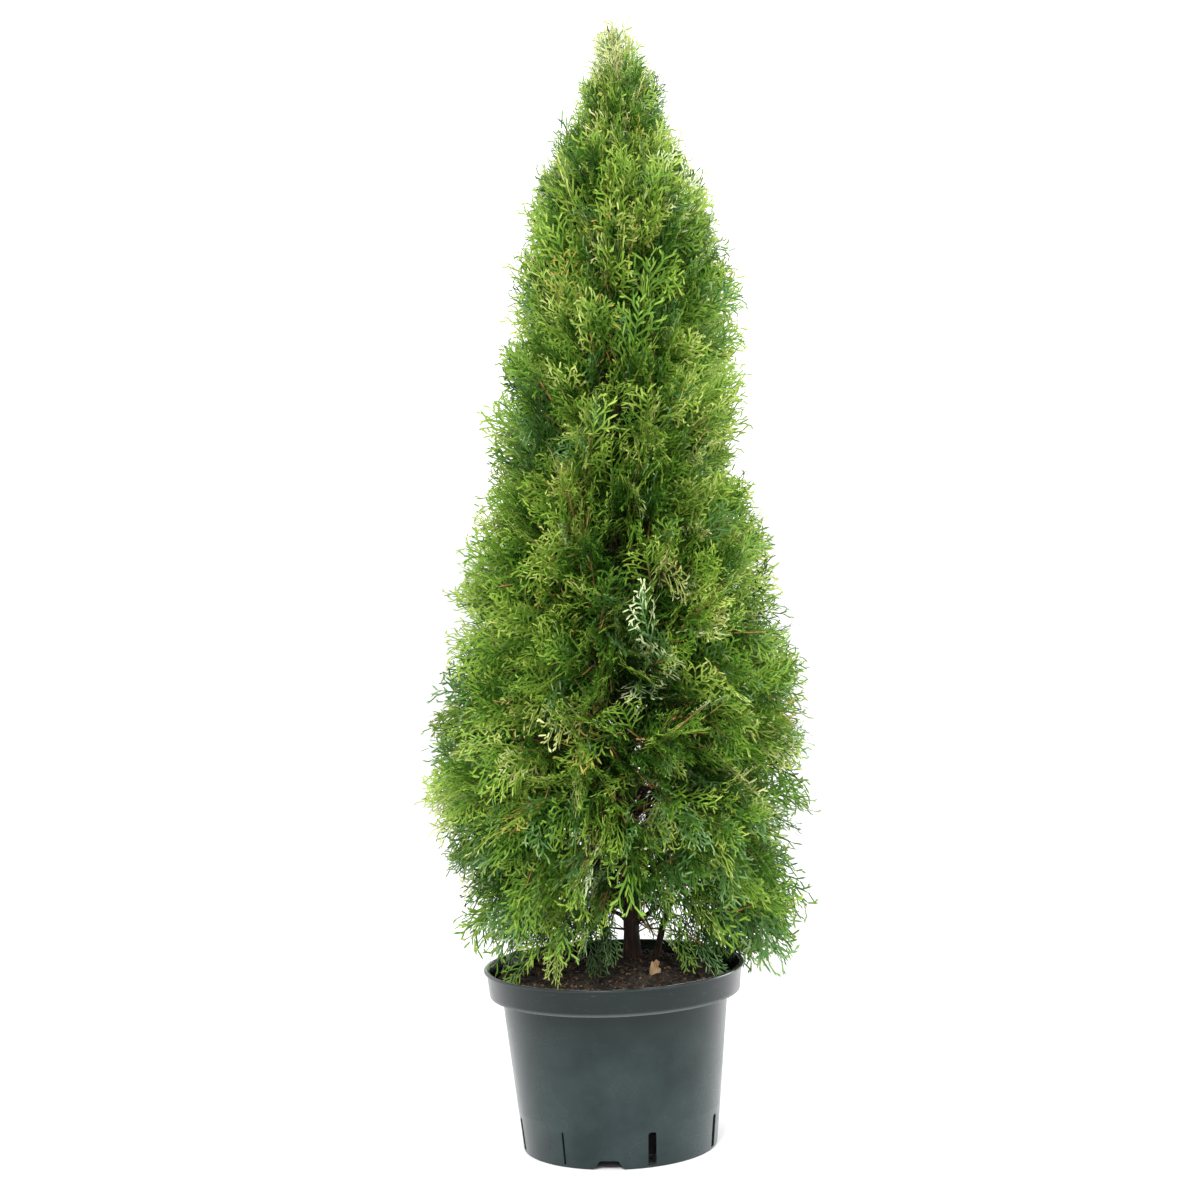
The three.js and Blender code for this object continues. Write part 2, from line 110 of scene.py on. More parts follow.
# Where the sky shows through the foot of the crown: x, z and radius
SKY_WINDOWS = [(0.067, 0.292, 0.015), (0.068, 0.322, 0.009), (-0.017, 0.281, 0.009), (-0.075, 0.318, 0.011)]

# The hem of the foliage: the height at which it ends, as the camera sees it, against x
HEM = {
    -0.26: 0.250, -0.155: 0.250, -0.145: 0.235, -0.12: 0.235, -0.11: 0.252, 0.000: 0.248, 0.014: 0.290,
    0.074: 0.285, 0.085: 0.250, 0.10: 0.230, 0.15: 0.230, 0.17: 0.246, 0.22: 0.240, 0.28: 0.236,
}  # fmt: skip

# Sprays round the trunk's tip: the foot and the tip of each, from the tip of the trunk
TIP_SPRAYS = [
    ((-0.004, 0.000, -0.070), (-0.009, -0.004, -0.011)),
    ((0.004, 0.000, -0.066), (0.021, -0.006, -0.010)),
    ((0.006, -0.004, -0.082), (0.033, -0.010, -0.028)),
    ((-0.002, 0.000, -0.086), (-0.030, -0.004, -0.045)),
    ((0.000, -0.004, -0.064), (0.007, -0.010, -0.018)),
    ((0.008, 0.006, -0.104), (0.042, 0.004, -0.058)),
    ((0.000, 0.004, -0.072), (0.002, 0.020, -0.020)),
    ((0.000, -0.004, -0.080), (-0.006, -0.024, -0.034)),
]
# Fronds that hang over the soil and under the hem: the foot and the tip of each
LOW_FRONDS = [
    ((-0.095, -0.040, 0.272), (-0.150, -0.046, 0.244)),
    ((-0.070, -0.060, 0.300), (-0.082, -0.080, 0.250)),
    ((-0.035, -0.060, 0.305), (-0.024, -0.078, 0.254)),
    ((-0.004, -0.050, 0.310), (-0.002, -0.066, 0.258)),
    ((0.075, -0.052, 0.300), (0.101, -0.072, 0.254)),
    ((0.100, -0.050, 0.285), (0.148, -0.055, 0.247)),
    ((-0.055, -0.020, 0.335), (-0.060, -0.040, 0.274)),
    ((-0.020, -0.030, 0.345), (-0.012, -0.050, 0.282)),
    ((-0.115, -0.010, 0.320), (-0.130, -0.020, 0.264)),
    ((0.095, -0.020, 0.330), (0.115, -0.040, 0.270)),
    ((-0.085, 0.010, 0.320), (-0.100, 0.020, 0.270)),
    ((-0.040, 0.020, 0.320), (-0.036, 0.040, 0.272)),
    ((0.120, 0.000, 0.310), (0.150, -0.010, 0.264)),
    ((0.112, 0.030, 0.320), (0.132, 0.050, 0.270)),
]

# Ribbon colours as sRGB, from shade to light
LEAF_COLOURS = {
    "shade": (31, 64, 10),
    "dark": (55, 94, 22),
    "mid": (90, 128, 38),
    "fresh": (119, 153, 52),
    "bright": (150, 175, 72),
    "yellow": (180, 192, 106),
    "olive": (158, 164, 90),
    "cool": (72, 114, 56),
    "grey": (118, 150, 94),
    "pale": (190, 202, 150),
    "straw": (194, 200, 138),
    "gold": (166, 154, 70),
}
# Each family colours a spray's middle, its side shoots, their leaves and its tips
LEAF_FAMILIES = {
    "shade": ("shade", "shade", "shade", "dark"),
    "deep": ("dark", "dark", "dark", "mid"),
    "middle": ("dark", "mid", "mid", "fresh"),
    "fresh": ("mid", "fresh", "fresh", "bright"),
    "bright": ("fresh", "bright", "bright", "yellow"),
    "cool": ("dark", "cool", "cool", "grey"),
    "pale": ("cool", "grey", "pale", "pale"),
    "golden": ("mid", "mid", "fresh", "gold"),
    "olive": ("mid", "olive", "olive", "straw"),
}
TWIG_COLOURS = {"twig_dark": (54, 38, 27), "twig_brown": (144, 108, 66), "twig_orange": (202, 154, 96)}

rng = np.random.default_rng(SEED)
UP = np.array([0.0, 0.0, 1.0])


# ---- helpers

def linear(srgb):
    """An sRGB colour of 0 to 255 as the linear RGBA that shaders take."""
    scaled = [c / 255 for c in srgb]
    return [c / 12.92 if c <= 0.04045 else ((c + 0.055) / 1.055) ** 2.4 for c in scaled] + [1.0]


def unit(vectors):
    return vectors / np.maximum(np.linalg.norm(vectors, axis=-1, keepdims=True), 1e-9)


def along(table, height):
    """Reads a {height: value} table, or one like it, with straight lines between its entries."""
    return np.interp(height, list(table), list(table.values()))


def heading(turn, rise=0.0):
    """The unit vector at an azimuth and a rise, in radians."""
    return np.array([math.cos(turn) * math.cos(rise), math.sin(turn) * math.cos(rise), math.sin(rise)])


def raised(out, rise):
    """A level direction turned up by a rise."""
    return out * math.cos(rise) + UP * math.sin(rise)


def length_of(path):
    return np.linalg.norm(np.diff(path, axis=0), axis=1).sum()


def point_on(path, share):
    """The point of a path at a share of its number of steps."""
    stations = np.linspace(0, 1, len(path))
    return np.array([np.interp(share, stations, path[:, axis]) for axis in range(3)])


def bezier(a, b, c, t):
    t = np.asarray(t)[:, None]
    return a * (1 - t) ** 2 + 2 * b * t * (1 - t) + c * t**2


def linked(name, data):
    """A new object in the scene."""
    new = bpy.data.objects.new(name, data)
    bpy.context.scene.collection.objects.link(new)
    return new


def faces_mesh(name, vertices, faces):
    mesh = bpy.data.meshes.new(name)
    mesh.from_pydata(vertices, [], faces)
    return mesh


def mesh_object(name, vertices, triangles, materials, slots=None, smooth=False):
    """A triangle mesh that rides on the plant's one body."""
    mesh = bpy.data.meshes.new(name)
    mesh.vertices.add(len(vertices))
    mesh.vertices.foreach_set("co", np.asarray(vertices, dtype=np.float32).ravel())
    mesh.loops.add(3 * len(triangles))
    mesh.loops.foreach_set("vertex_index", np.asarray(triangles, dtype=np.int32).ravel())
    mesh.polygons.add(len(triangles))
    mesh.polygons.foreach_set("loop_start", np.arange(0, 3 * len(triangles), 3, dtype=np.int32))
    for material in materials:
        mesh.materials.append(material)
    if slots is not None:
        mesh.polygons.foreach_set("material_index", np.asarray(slots, dtype=np.int32))
    mesh.polygons.foreach_set("use_smooth", np.full(len(triangles), smooth))
    mesh.update(calc_edges=True)
    piece = linked(name, mesh)
    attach(piece, "root")
    return piece


def tree_of(*nodes):
    """One BVH tree over several CAD nodes, which all lie where their meshes say."""
    vertices, faces = [], []
    for node in nodes:
        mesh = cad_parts[node].data
        first = len(vertices)
        vertices += [v.co.copy() for v in mesh.vertices]
        faces += [[first + i for i in p.vertices] for p in mesh.polygons]
    return BVHTree.FromPolygons(vertices, faces)


def points_of(node):
    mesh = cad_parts[node].data
    points = np.empty(3 * len(mesh.vertices))
    mesh.vertices.foreach_get("co", points)
    return points.reshape(-1, 3)


# ---- what the CAD model says

NODES = sorted(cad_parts)
MASSES = [name for name in NODES if "_foliage_" in name]
BOUGHS = [name for name in NODES if name.startswith(("bough_", "stem_"))]
TIERS = sorted({name.split("_")[0] for name in MASSES}, key=lambda name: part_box(f"{name}_foliage_1")[0][2])


def read_trunk():
    """Heights, middles and radii of the rings of the CAD trunk."""
    points = points_of("trunk")
    points = points[np.argsort(points[:, 2])]
    rings = np.split(points, np.flatnonzero(np.diff(points[:, 2]) > 0.006) + 1)
    middles = np.array([ring.mean(axis=0) for ring in rings])
    radii = np.array([np.linalg.norm(r - m, axis=1).max() for r, m in zip(rings, middles)])
    return middles, radii


TRUNK_MIDDLES, TRUNK_RADII = read_trunk()
TRUNK_FOOT, TRUNK_TOP = TRUNK_MIDDLES[0, 2], TRUNK_MIDDLES[-1, 2]


def trunk_at(height):
    """The trunk's middle at a height or heights."""
    height = np.asarray(height, dtype=float)
    x = np.interp(height, TRUNK_MIDDLES[:, 2], TRUNK_MIDDLES[:, 0])
    y = np.interp(height, TRUNK_MIDDLES[:, 2], TRUNK_MIDDLES[:, 1])
    return np.stack([x, y, height], axis=-1)


OUTLINE_HEIGHTS = np.arange(0.23, 1.50, 0.02)
OUTLINE_TURNS = np.linspace(-math.pi, math.pi, 25)


def read_outline():
    """How far the foliage masses reach from the trunk, for each height and azimuth of a grid.

    Each is the farthest of nine rays close together, so that the gaps between the masses are left out.
    """
    tree = tree_of(*MASSES)
    far = 0.6
    grid = np.zeros((len(OUTLINE_HEIGHTS), len(OUTLINE_TURNS)))
    for i, height in enumerate(OUTLINE_HEIGHTS):
        for j, turn in enumerate(OUTLINE_TURNS):
            for shift in (-0.012, 0.0, 0.012):
                for swing in (-0.2, 0.0, 0.2):
                    out = Vector(heading(turn + swing))
                    axis = Vector(trunk_at(height + shift))
                    hit, _, _, distance = tree.ray_cast(axis + out * far, -out, far)
                    if hit is not None:
                        grid[i, j] = max(grid[i, j], far - distance)
    return grid


OUTLINE = read_outline()


def outline_radius(points):
    """The crown's radius in the direction and at the height of each point."""
    points = np.atleast_2d(points)
    offset = points - trunk_at(points[:, 2])
    turn = np.arctan2(offset[:, 1], offset[:, 0])
    row = np.interp(points[:, 2], OUTLINE_HEIGHTS, np.arange(len(OUTLINE_HEIGHTS)))
    column = np.interp(turn, OUTLINE_TURNS, np.arange(len(OUTLINE_TURNS)))
    i = np.minimum(row.astype(int), len(OUTLINE_HEIGHTS) - 2)
    j = np.minimum(column.astype(int), len(OUTLINE_TURNS) - 2)
    v, u = row - i, column - j
    low = OUTLINE[i, j] * (1 - u) + OUTLINE[i, j + 1] * u
    high = OUTLINE[i + 1, j] * (1 - u) + OUTLINE[i + 1, j + 1] * u
    return low * (1 - v) + high * v


def axis_distance(points):
    points = np.atleast_2d(points)
    offset = points - trunk_at(points[:, 2])
    return np.hypot(offset[:, 0], offset[:, 1])


# ---- materials

def plain_material(name, srgb, roughness=0.55):
    material = bpy.data.materials.new(name)
    material.use_nodes = True
    shader = material.node_tree.nodes["Principled BSDF"]
    shader.inputs["Base Color"].default_value = linear(srgb)
    shader.inputs["Roughness"].default_value = roughness
    shader.inputs["Specular IOR Level"].default_value = 0.26
    return material


class Nodes:
    """A short way to write a material's nodes."""

    def __init__(self, name):
        self.material = bpy.data.materials.new(name)
        self.material.use_nodes = True
        self.tree = self.material.node_tree
        self.shader = self.tree.nodes["Principled BSDF"]
        self.place = self.add("ShaderNodeTexCoord").outputs["Object"]

    def add(self, kind, links=None, **settings):
        node = self.tree.nodes.new(kind)
        for key, value in settings.items():
            if hasattr(node, key):
                setattr(node, key, value)
            else:
                node.inputs[key.replace("_", " ")].default_value = value
        for key, source in (links or {}).items():
            self.tree.links.new(source, node.inputs[key])
        return node

    def noise(self, scale, detail=4.0, stretch=(1, 1, 1), roughness=0.6, place=None):
        mapped = self.add("ShaderNodeMapping", {"Vector": place or self.place}, Scale=stretch)
        links = {"Vector": mapped.outputs["Vector"]}
        node = self.add("ShaderNodeTexNoise", links, Scale=scale, Detail=detail, Roughness=roughness)
        return node.outputs["Fac"]

    def ramp(self, factor, stops):
        """stops is a list of (place, sRGB colour or brightness)."""
        node = self.add("ShaderNodeValToRGB", {"Fac": factor})
        ramp = node.color_ramp
        while len(ramp.elements) < len(stops):
            ramp.elements.new(0.5)
        for element, (place, colour) in zip(ramp.elements, stops):
            element.position = place
            element.color = [colour] * 3 + [1] if isinstance(colour, float) else linear(colour)
        return node.outputs["Color"]

    def mix(self, factor, a, b, blend="MIX"):
        node = self.add("ShaderNodeMix", data_type="RGBA", blend_type=blend)
        for socket, value in ((node.inputs[0], factor), (node.inputs[6], a), (node.inputs[7], b)):
            if isinstance(value, bpy.types.NodeSocket):
                self.tree.links.new(value, socket)
            else:
                socket.default_value = value
        return node.outputs[2]

    def bump(self, height, strength, distance):
        node = self.add("ShaderNodeBump", {"Height": height}, Strength=strength, Distance=distance)
        self.tree.links.new(node.outputs["Normal"], self.shader.inputs["Normal"])

    def set(self, socket, source):
        self.tree.links.new(source, self.shader.inputs[socket])


def bark_material():
    nodes = Nodes("bark")
    fibre = nodes.noise(240, 6, (1, 1, 0.08))
    patch = nodes.noise(38, 3, (1, 1, 0.35))
    dark = nodes.ramp(fibre, [(0.30, (15, 11, 9)), (0.52, (40, 29, 23)), (0.74, (82, 61, 48))])
    red = nodes.ramp(fibre, [(0.30, (26, 16, 12)), (0.55, (66, 41, 30)), (0.78, (116, 78, 56))])
    choice = nodes.ramp(patch, [(0.42, 0.0), (0.60, 1.0)])
    nodes.set("Base Color", nodes.mix(choice, dark, red))
    nodes.shader.inputs["Roughness"].default_value = 0.88
    nodes.bump(fibre, 0.7, 0.0012)
    return nodes.material


def soil_material():
    nodes = Nodes("soil")
    grain = nodes.noise(420, 8)
    clump = nodes.noise(90, 4)
    base = nodes.ramp(grain, [(0.30, (20, 18, 15)), (0.52, (58, 51, 43)), (0.76, (122, 108, 90))])
    damp = nodes.ramp(clump, [(0.38, (96, 92, 90)), (0.62, (255, 250, 244))])
    nodes.set("Base Color", nodes.mix(1.0, base, damp, "MULTIPLY"))
    nodes.shader.inputs["Roughness"].default_value = 0.95
    nodes.bump(grain, 0.9, 0.002)
    return nodes.material


def chip_material(name, dark, light, gloss=0.4):
    """Broken wood, in streaks between two sRGB colours."""
    nodes = Nodes(name)
    streak = nodes.noise(260, 5, (1, 1, 0.3))
    nodes.set("Base Color", nodes.ramp(streak, [(0.34, dark), (0.66, light)]))
    nodes.shader.inputs["Roughness"].default_value = 0.9
    nodes.shader.inputs["Specular IOR Level"].default_value = gloss
    nodes.bump(streak, 0.5, 0.001)
    return nodes.material


def pot_material():
    """Black plastic: cloudy, dusty and scratched round the band, with painted shade towards and on the band
    and painted highlight lines at the band's foot and the rim.
    """
    nodes = Nodes("pot_plastic")
    mottle = nodes.noise(14, 5)
    grain = nodes.noise(900, 3)
    x, y, z = nodes.add("ShaderNodeSeparateXYZ", {"Vector": nodes.place}).outputs
    turn = nodes.add("ShaderNodeMath", operation="ARCTAN2")
    nodes.tree.links.new(y, turn.inputs[0])
    nodes.tree.links.new(x, turn.inputs[1])
    around = nodes.add("ShaderNodeCombineXYZ", {"X": turn.outputs[0], "Z": z}).outputs["Vector"]
    streaks = nodes.noise(9, 8, (1, 1, 60), 0.7, around)
    specks = nodes.noise(60, 8, (0.6, 0.6, 1.6), 0.75)
    cloudy = nodes.ramp(mottle, [(0.35, (24, 36, 37)), (0.65, (42, 54, 54))])
    # painted shade: the base colour darkens from 5 cm up to the band and stays dark on the band
    shade = nodes.ramp(z, [(0.05, (255, 255, 255)), (0.15, (215, 215, 215)), (0.20, (120, 120, 120))])
    base = nodes.mix(1.0, cloudy, shade, "MULTIPLY")
    on_band = nodes.add("ShaderNodeMapRange", {"Value": z})
    on_band.inputs["From Min"].default_value = 0.200
    on_band.inputs["From Max"].default_value = 0.212
    scratches = nodes.ramp(streaks, [(0.62, 0.0), (0.74, 0.6)])
    worn = nodes.mix(1.0, scratches, on_band.outputs["Result"], "MULTIPLY")
    dusty = nodes.ramp(specks, [(0.64, 0.0), (0.80, 0.22)])
    # painted highlight: thin light lines round the pot at the foot of the band and on the bead of the rim
    band_foot_highlight = [(0.2050, 0.0), (0.2064, 0.55), (0.2078, 0.0)]
    rim = [(0.2384, 0.0), (0.2398, 0.4), (0.2420, 0.1)]
    edge_highlights = nodes.ramp(z, band_foot_highlight + rim)
    # the dusty specks and the scratches are real wear; the lines mixed in with them are painted highlights
    # in the same light grey
    dust_wear_and_highlights = nodes.mix(1.0, nodes.mix(1.0, worn, dusty, "ADD"), edge_highlights, "ADD")
    nodes.set("Base Color", nodes.mix(dust_wear_and_highlights, base, linear((138, 146, 147))))
    nodes.set("Roughness", nodes.ramp(mottle, [(0.3, 0.18), (0.7, 0.30)]))
    nodes.shader.inputs["Specular IOR Level"].default_value = 0.36
    nodes.shader.inputs["Specular Tint"].default_value = (0.84, 0.97, 0.98, 1.0)
    nodes.bump(grain, 0.05, 0.0003)
    return nodes.material


LEAF_MATERIALS = {name: plain_material("leaf_" + name, colour, 0.5) for name, colour in LEAF_COLOURS.items()}
TWIG_MATERIALS = {name: plain_material(name, colour, 0.75) for name, colour in TWIG_COLOURS.items()}
BARK = bark_material()
SOIL = soil_material()
SOIL_BITS = [
    chip_material("crumb_dark", (24, 17, 13), (60, 44, 34)),
    chip_material("crumb_brown", (52, 37, 28), (108, 80, 60)),
    chip_material("bark_chip", (84, 62, 46), (150, 118, 88)),
]
CHIP = chip_material("wood_chip", (140, 108, 74), (196, 166, 124))


# ---- tubes for wood

def grid_triangles(grid):
    """Two triangles for each cell of a grid of vertex numbers (..., ring, side). The rings are closed."""
    a, b = grid[..., :-1, :], grid[..., 1:, :]
    next_a, next_b = np.roll(a, -1, axis=-1), np.roll(b, -1, axis=-1)
    quads = np.stack([a, next_a, next_b, b], axis=-1).reshape(-1, 4)
    return np.concatenate([quads[:, [0, 1, 2]], quads[:, [0, 2, 3]]])


def tubes(paths, radii, sides, relief=None):
    """Open tubes along paths (tube, point, xyz) with radii (tube, point).

    relief adds to the radii, by side too.
    """
    paths = np.asarray(paths, dtype=float)
    radii = np.asarray(radii, dtype=float)
    count, steps, _ = paths.shape
    tangent = unit(np.gradient(paths, axis=1))
    upright = np.abs(tangent[:, :, 2].mean(axis=1)) > 0.8
    ref = np.where(upright[:, None], [[0.0, -1.0, 0.0]], [[0.0, 0.0, 1.0]])[:, None, :]
    side = unit(np.cross(np.broadcast_to(ref, tangent.shape), tangent))
    other = np.cross(tangent, side)
    turn = np.arange(sides) * 2 * math.pi / sides
    width = radii[:, :, None] + (0 if relief is None else relief)
    ring = (
        np.cos(turn)[None, None, :, None] * side[:, :, None, :]
        + np.sin(turn)[None, None, :, None] * other[:, :, None, :]
    )
    vertices = (paths[:, :, None, :] + ring * width[..., None]).reshape(-1, 3)
    triangles = grid_triangles(np.arange(count * steps * sides).reshape(count, steps, sides))
    owner = np.repeat(np.arange(count), (steps - 1) * sides)
    return vertices, triangles, np.concatenate([owner, owner])


def lattice_noise(u, v, across, seed):
    """Smooth noise from 0 to 1 that repeats every 'across' cells of u."""
    table = np.random.default_rng(seed).random((across, 512))
    i, j = np.floor(u).astype(int), np.floor(v).astype(int)
    a, b = u - i, v - j
    a, b = a * a * (3 - 2 * a), b * b * (3 - 2 * b)
    low = table[i % across, j % 512] * (1 - a) + table[(i + 1) % across, j % 512] * a
    high = table[i % across, (j + 1) % 512] * (1 - a) + table[(i + 1) % across, (j + 1) % 512] * a
    return low * (1 - b) + high * b


BARK_DEPTH = 0.24  # of a limb's radius


def bark_relief(lengths, radii, sides, seed):
    """Ridges that run along a limb, on a grid of (point, side)."""
    turn = np.arange(sides)[None, :] / sides
    s = lengths[:, None]
    relief = 0
    for across, stretch, share in ((7, 0.045, 0.55), (15, 0.022, 0.30), (31, 0.010, 0.15)):
        noise = lattice_noise(turn * across + s * 4, s / stretch + 40 * seed, across, seed + across)
        relief = relief + share * (1 - np.abs(2 * noise - 1))
    return (relief - 0.5) * BARK_DEPTH * radii[:, None]


# ---- one spray of ribbons

def flat_way(turn, lift):
    return np.array([math.cos(turn), math.sin(turn), lift])


class Spray:
    """A flat spray, one unit long from its foot along +X. Each of its triangles has a colour level."""

    def __init__(self, seed):
        self.random = np.random.default_rng(seed)
        self.vertices, self.triangles, self.levels = [], [], []
        self.grow()

    def across(self, way):
        """The direction of a ribbon's width: it rolls a little about its way."""
        roll = self.random.uniform(-0.4, 0.4)
        return np.cross(UP, way) * math.cos(roll) + UP * math.sin(roll)

    def add(self, vertices, triangles, level):
        first = len(self.vertices)
        self.vertices += vertices
        self.triangles += [[first + i for i in triangle] for triangle in triangles]
        shift = self.random.choice([-1, 0, 0, 0, 0, 0, 1])
        self.levels += [min(max(level + shift, 0), 3)] * len(triangles)

    def ribbon(self, points, widths, level):
        """A ribbon along points, with its width at all but the last, where it comes to a tip."""
        points = np.asarray(points)
        ways = unit(np.gradient(points, axis=0))
        across = self.across(ways[0])
        vertices, triangles = [], []
        for point, wide in zip(points, widths):
            half = across * wide * RIBBON_WIDTH / SPRAY_LENGTH / 2
            vertices += [point - half, point + half]
        last = 2 * len(widths) - 2
        for a in range(0, last, 2):
            triangles += [(a, a + 2, a + 3), (a, a + 3, a + 1)]
        self.add([*vertices, points[-1]], [*triangles, (last, last + 2, last + 1)], level)

    def leaf(self, foot, turn, length, level):
        """A short blunt ribbon, sometimes with a smaller one that forks from it."""
        way = unit(flat_way(turn, self.random.uniform(-0.22, 0.22)))
        self.ribbon([foot, foot + way * length * SHOULDER, foot + way * length], [0.7, 0.95], level)
        if self.random.random() < FORK_SHARE:
            fork = turn + self.random.choice([-1, 1]) * math.radians(self.random.uniform(*FORK_ANGLE))
            fork_way = unit(flat_way(fork, way[2]))
            fork_foot = foot + way * length * self.random.uniform(0.4, 0.6)
            reach = self.random.uniform(*FORK_LENGTH)
            half = self.across(fork_way) * RIBBON_WIDTH / SPRAY_LENGTH / 2
            shoulder = fork_foot + fork_way * reach * SHOULDER
            corners = [fork_foot, shoulder - half, fork_foot + fork_way * reach, shoulder + half]
            self.add(corners, [(0, 1, 3), (1, 2, 3)], level + 1)

    def leaves(self, shoot, size, start):
        """Leaves on both sides of a shoot, which is a list of points."""
        shoot = np.asarray(shoot)
        count = max(2, round(length_of(shoot) * (1 - start) / LEAF_SPACING))
        for j in range(count):
            t = start + (1 - start) * (j + self.random.uniform(0.1, 0.7)) / count
            here = point_on(shoot, t)
            run = here - point_on(shoot, t - 0.1)
            side = math.radians(self.random.uniform(*LEAF_ANGLE)) * (1 if j % 2 else -1)
            length = self.random.uniform(*LEAF_LENGTH) * size * (1 - 0.3 * t)
            self.leaf(here, math.atan2(run[1], run[0]) + side, length, 3 if t > 0.66 else 2)

    def grow(self):
        bend = self.random.uniform(-0.07, 0.07)
        middle = [np.array([s, bend * s * s, 0.0]) for s in np.linspace(0, 1, 5)]
        self.ribbon(middle, [1.1, 1.15, 1.0, 0.85], 0)
        for i in range(SHOOTS):
            s = 0.10 + 0.78 * (i + self.random.uniform(-0.25, 0.25)) / SHOOTS
            hand = 1 if i % 2 else -1
            reach = 0.40 * along(SHOOT_REACH, s) * self.random.uniform(0.8, 1.15)
            turn = math.atan(2 * bend * s) + hand * math.radians(self.random.uniform(*SHOOT_ANGLE))
            curled = turn - hand * math.radians(self.random.uniform(*SHOOT_CURL))
            lift = self.random.uniform(-0.16, 0.16)
            foot = np.array([s, bend * s * s, 0.0])
            half_way = foot + flat_way(turn, lift) * reach * 0.55
            tip = half_way + flat_way(curled, lift) * reach * 0.45
            self.ribbon([foot, half_way, tip], [0.85, 1.05], 1)
            self.leaves([foot, half_way, tip], 1.0, 0.22)
        self.leaves(middle, 0.85, 0.62)


# ---- growing the crown

twig_paths, twig_radii, twig_tints = [], [], []
branch_paths, branch_radii = [], []
sprays, placed_sprays = [], []  # each is a foot, a way, a normal and a length
DARK, BROWN, ORANGE = range(3)
TWIG_STEPS = [0, 0.33, 0.67, 1]


def outward_of(point):
    """The level direction away from the trunk, which is any direction for a point on its axis."""
    offset = point - trunk_at(point[2])
    offset[2] = 0
    length = np.linalg.norm(offset)
    if length < 0.004:
        return heading(rng.uniform(0, 2 * math.pi))
    return offset / length


def spray_way(point, twig_way):
    """A spray's direction: midway between its twig's and the one that sprays have at this height."""
    rise = math.radians(along(SPRAY_RISE, point[2]) + rng.normal(0, 24))
    goal = raised(outward_of(point), rise)
    return unit(twig_way * 0.5 + goal * 0.5 + rng.normal(0, 0.18, 3))


def add_spray(foot, twig_way, normal, size=1.0):
    way = spray_way(foot, twig_way)
    normal = unit(normal + rng.normal(0, 0.5, 3))
    normal = unit(normal - way * np.dot(normal, way))
    length = SPRAY_LENGTH * size * along(SPRAY_SIZE, foot[2]) * rng.uniform(0.72, 1.22)
    sprays.append((foot, way, normal, length))


def add_twig(points, radius, tint, farthest=0.93):
    """A twig through four points, unless its tip lies beyond a share of the outline."""
    if axis_distance(points[-1])[0] < outline_radius(points[-1])[0] * farthest - 0.003:
        twig_paths.append(points)
        twig_radii.append(np.linspace(radius, radius * 0.5, len(points)))
        twig_tints.append(tint)


def twig_tint(point):
    """Twigs are dark inside the crown and brown to orange near its surface."""
    depth = 1 - axis_distance(point)[0] / max(outline_radius(point)[0], 0.02)
    dark = min(max(2.2 * depth - 0.2, 0.05), 0.9)
    return rng.choice(3, p=[dark, (1 - dark) * 0.45, (1 - dark) * 0.55])


def grow_twigs(path, foot_share):
    """Twigs with their sprays on both sides of a branch, in one flat fan."""
    length = length_of(path)
    chord = unit(path[-1] - path[0])
    flat_side = unit(np.cross(chord, UP))
    roll = rng.uniform(0.45, 1.5) * rng.choice([-1, 1])
    fan_side = flat_side * math.cos(roll) + np.cross(chord, flat_side) * math.sin(roll)
    normal = np.cross(chord, fan_side)
    count = max(3, int(length * (1 - foot_share) / TWIG_SPACING))
    for i in range(count):
        t = foot_share + (1 - foot_share) * (i + rng.uniform(0, 0.6)) / count
        foot = point_on(path, t)
        way = unit(point_on(path, min(t + 0.06, 1)) - foot + 1e-6 * chord)
        fork = math.radians(TWIG_FORK + rng.normal(0, 8))
        twig_way = unit(way * math.cos(fork) + (1 if i % 2 else -1) * fan_side * math.sin(fork))
        twig_length = min((0.020 + 0.36 * length * (1 - t)) * rng.uniform(0.7, 1.15), LONGEST_TWIG)
        end = foot + twig_way * twig_length
        end[2] += rng.normal(0, 0.06) * twig_length
        points = bezier(foot, foot + way * twig_length * 0.35, end, TWIG_STEPS)
        add_twig(points, 0.0012 + 0.006 * twig_length, twig_tint(end))
        add_spray(end, twig_way, normal)
        for k in range(int(twig_length / SPRAY_SPACING)):
            share = (k + rng.uniform(0.4, 0.9)) * SPRAY_SPACING / twig_length
            where = points[1] * (1 - share) + end * share
            side_way = unit(twig_way + (1 if k % 2 else -1) * np.cross(normal, twig_way) * 0.8)
            add_spray(where, side_way, normal, 0.88)
    add_spray(path[-1], unit(path[-1] - path[-2]), normal, 1.05)


def grow_bare_twigs():
    """Thin twigs without leaves, low round the trunk."""
    for _ in range(BARE_TWIGS):
        foot = trunk_at(rng.uniform(TRUNK_FOOT + 0.03, 0.46))
        turn = rng.uniform(0, 2 * math.pi)
        way = heading(turn, math.radians(rng.uniform(10, 75)))
        reach = rng.uniform(0.05, 0.13)
        bend = foot + way * reach * 0.5 + rng.normal(0, 0.012, 3)
        points = bezier(foot, bend, foot + way * reach, TWIG_STEPS)
        add_twig(points, rng.uniform(0.0009, 0.0018), rng.choice([DARK, DARK, BROWN]))


def place_spray(foot, tip, normal):
    length = np.linalg.norm(tip - foot)
    placed_sprays.append((foot, (tip - foot) / length, np.array(normal), length))


def place_sprays():
    """The sprays with a stated place: those over the soil, each on a twig, and those at the top."""
    for foot, tip in np.array(LOW_FRONDS):
        place_spray(foot, tip, (0.1, -0.7, 0.7))
        start = trunk_at(foot[2] + 0.01)
        add_twig(bezier(start, (start + foot) / 2 + 0.03 * UP, foot, TWIG_STEPS), 0.0018, DARK)
    for foot, tip in np.array(TIP_SPRAYS):
        place_spray(trunk_at(TRUNK_TOP) + foot, trunk_at(TRUNK_TOP) + tip, (0.3, -0.9, 0.2))


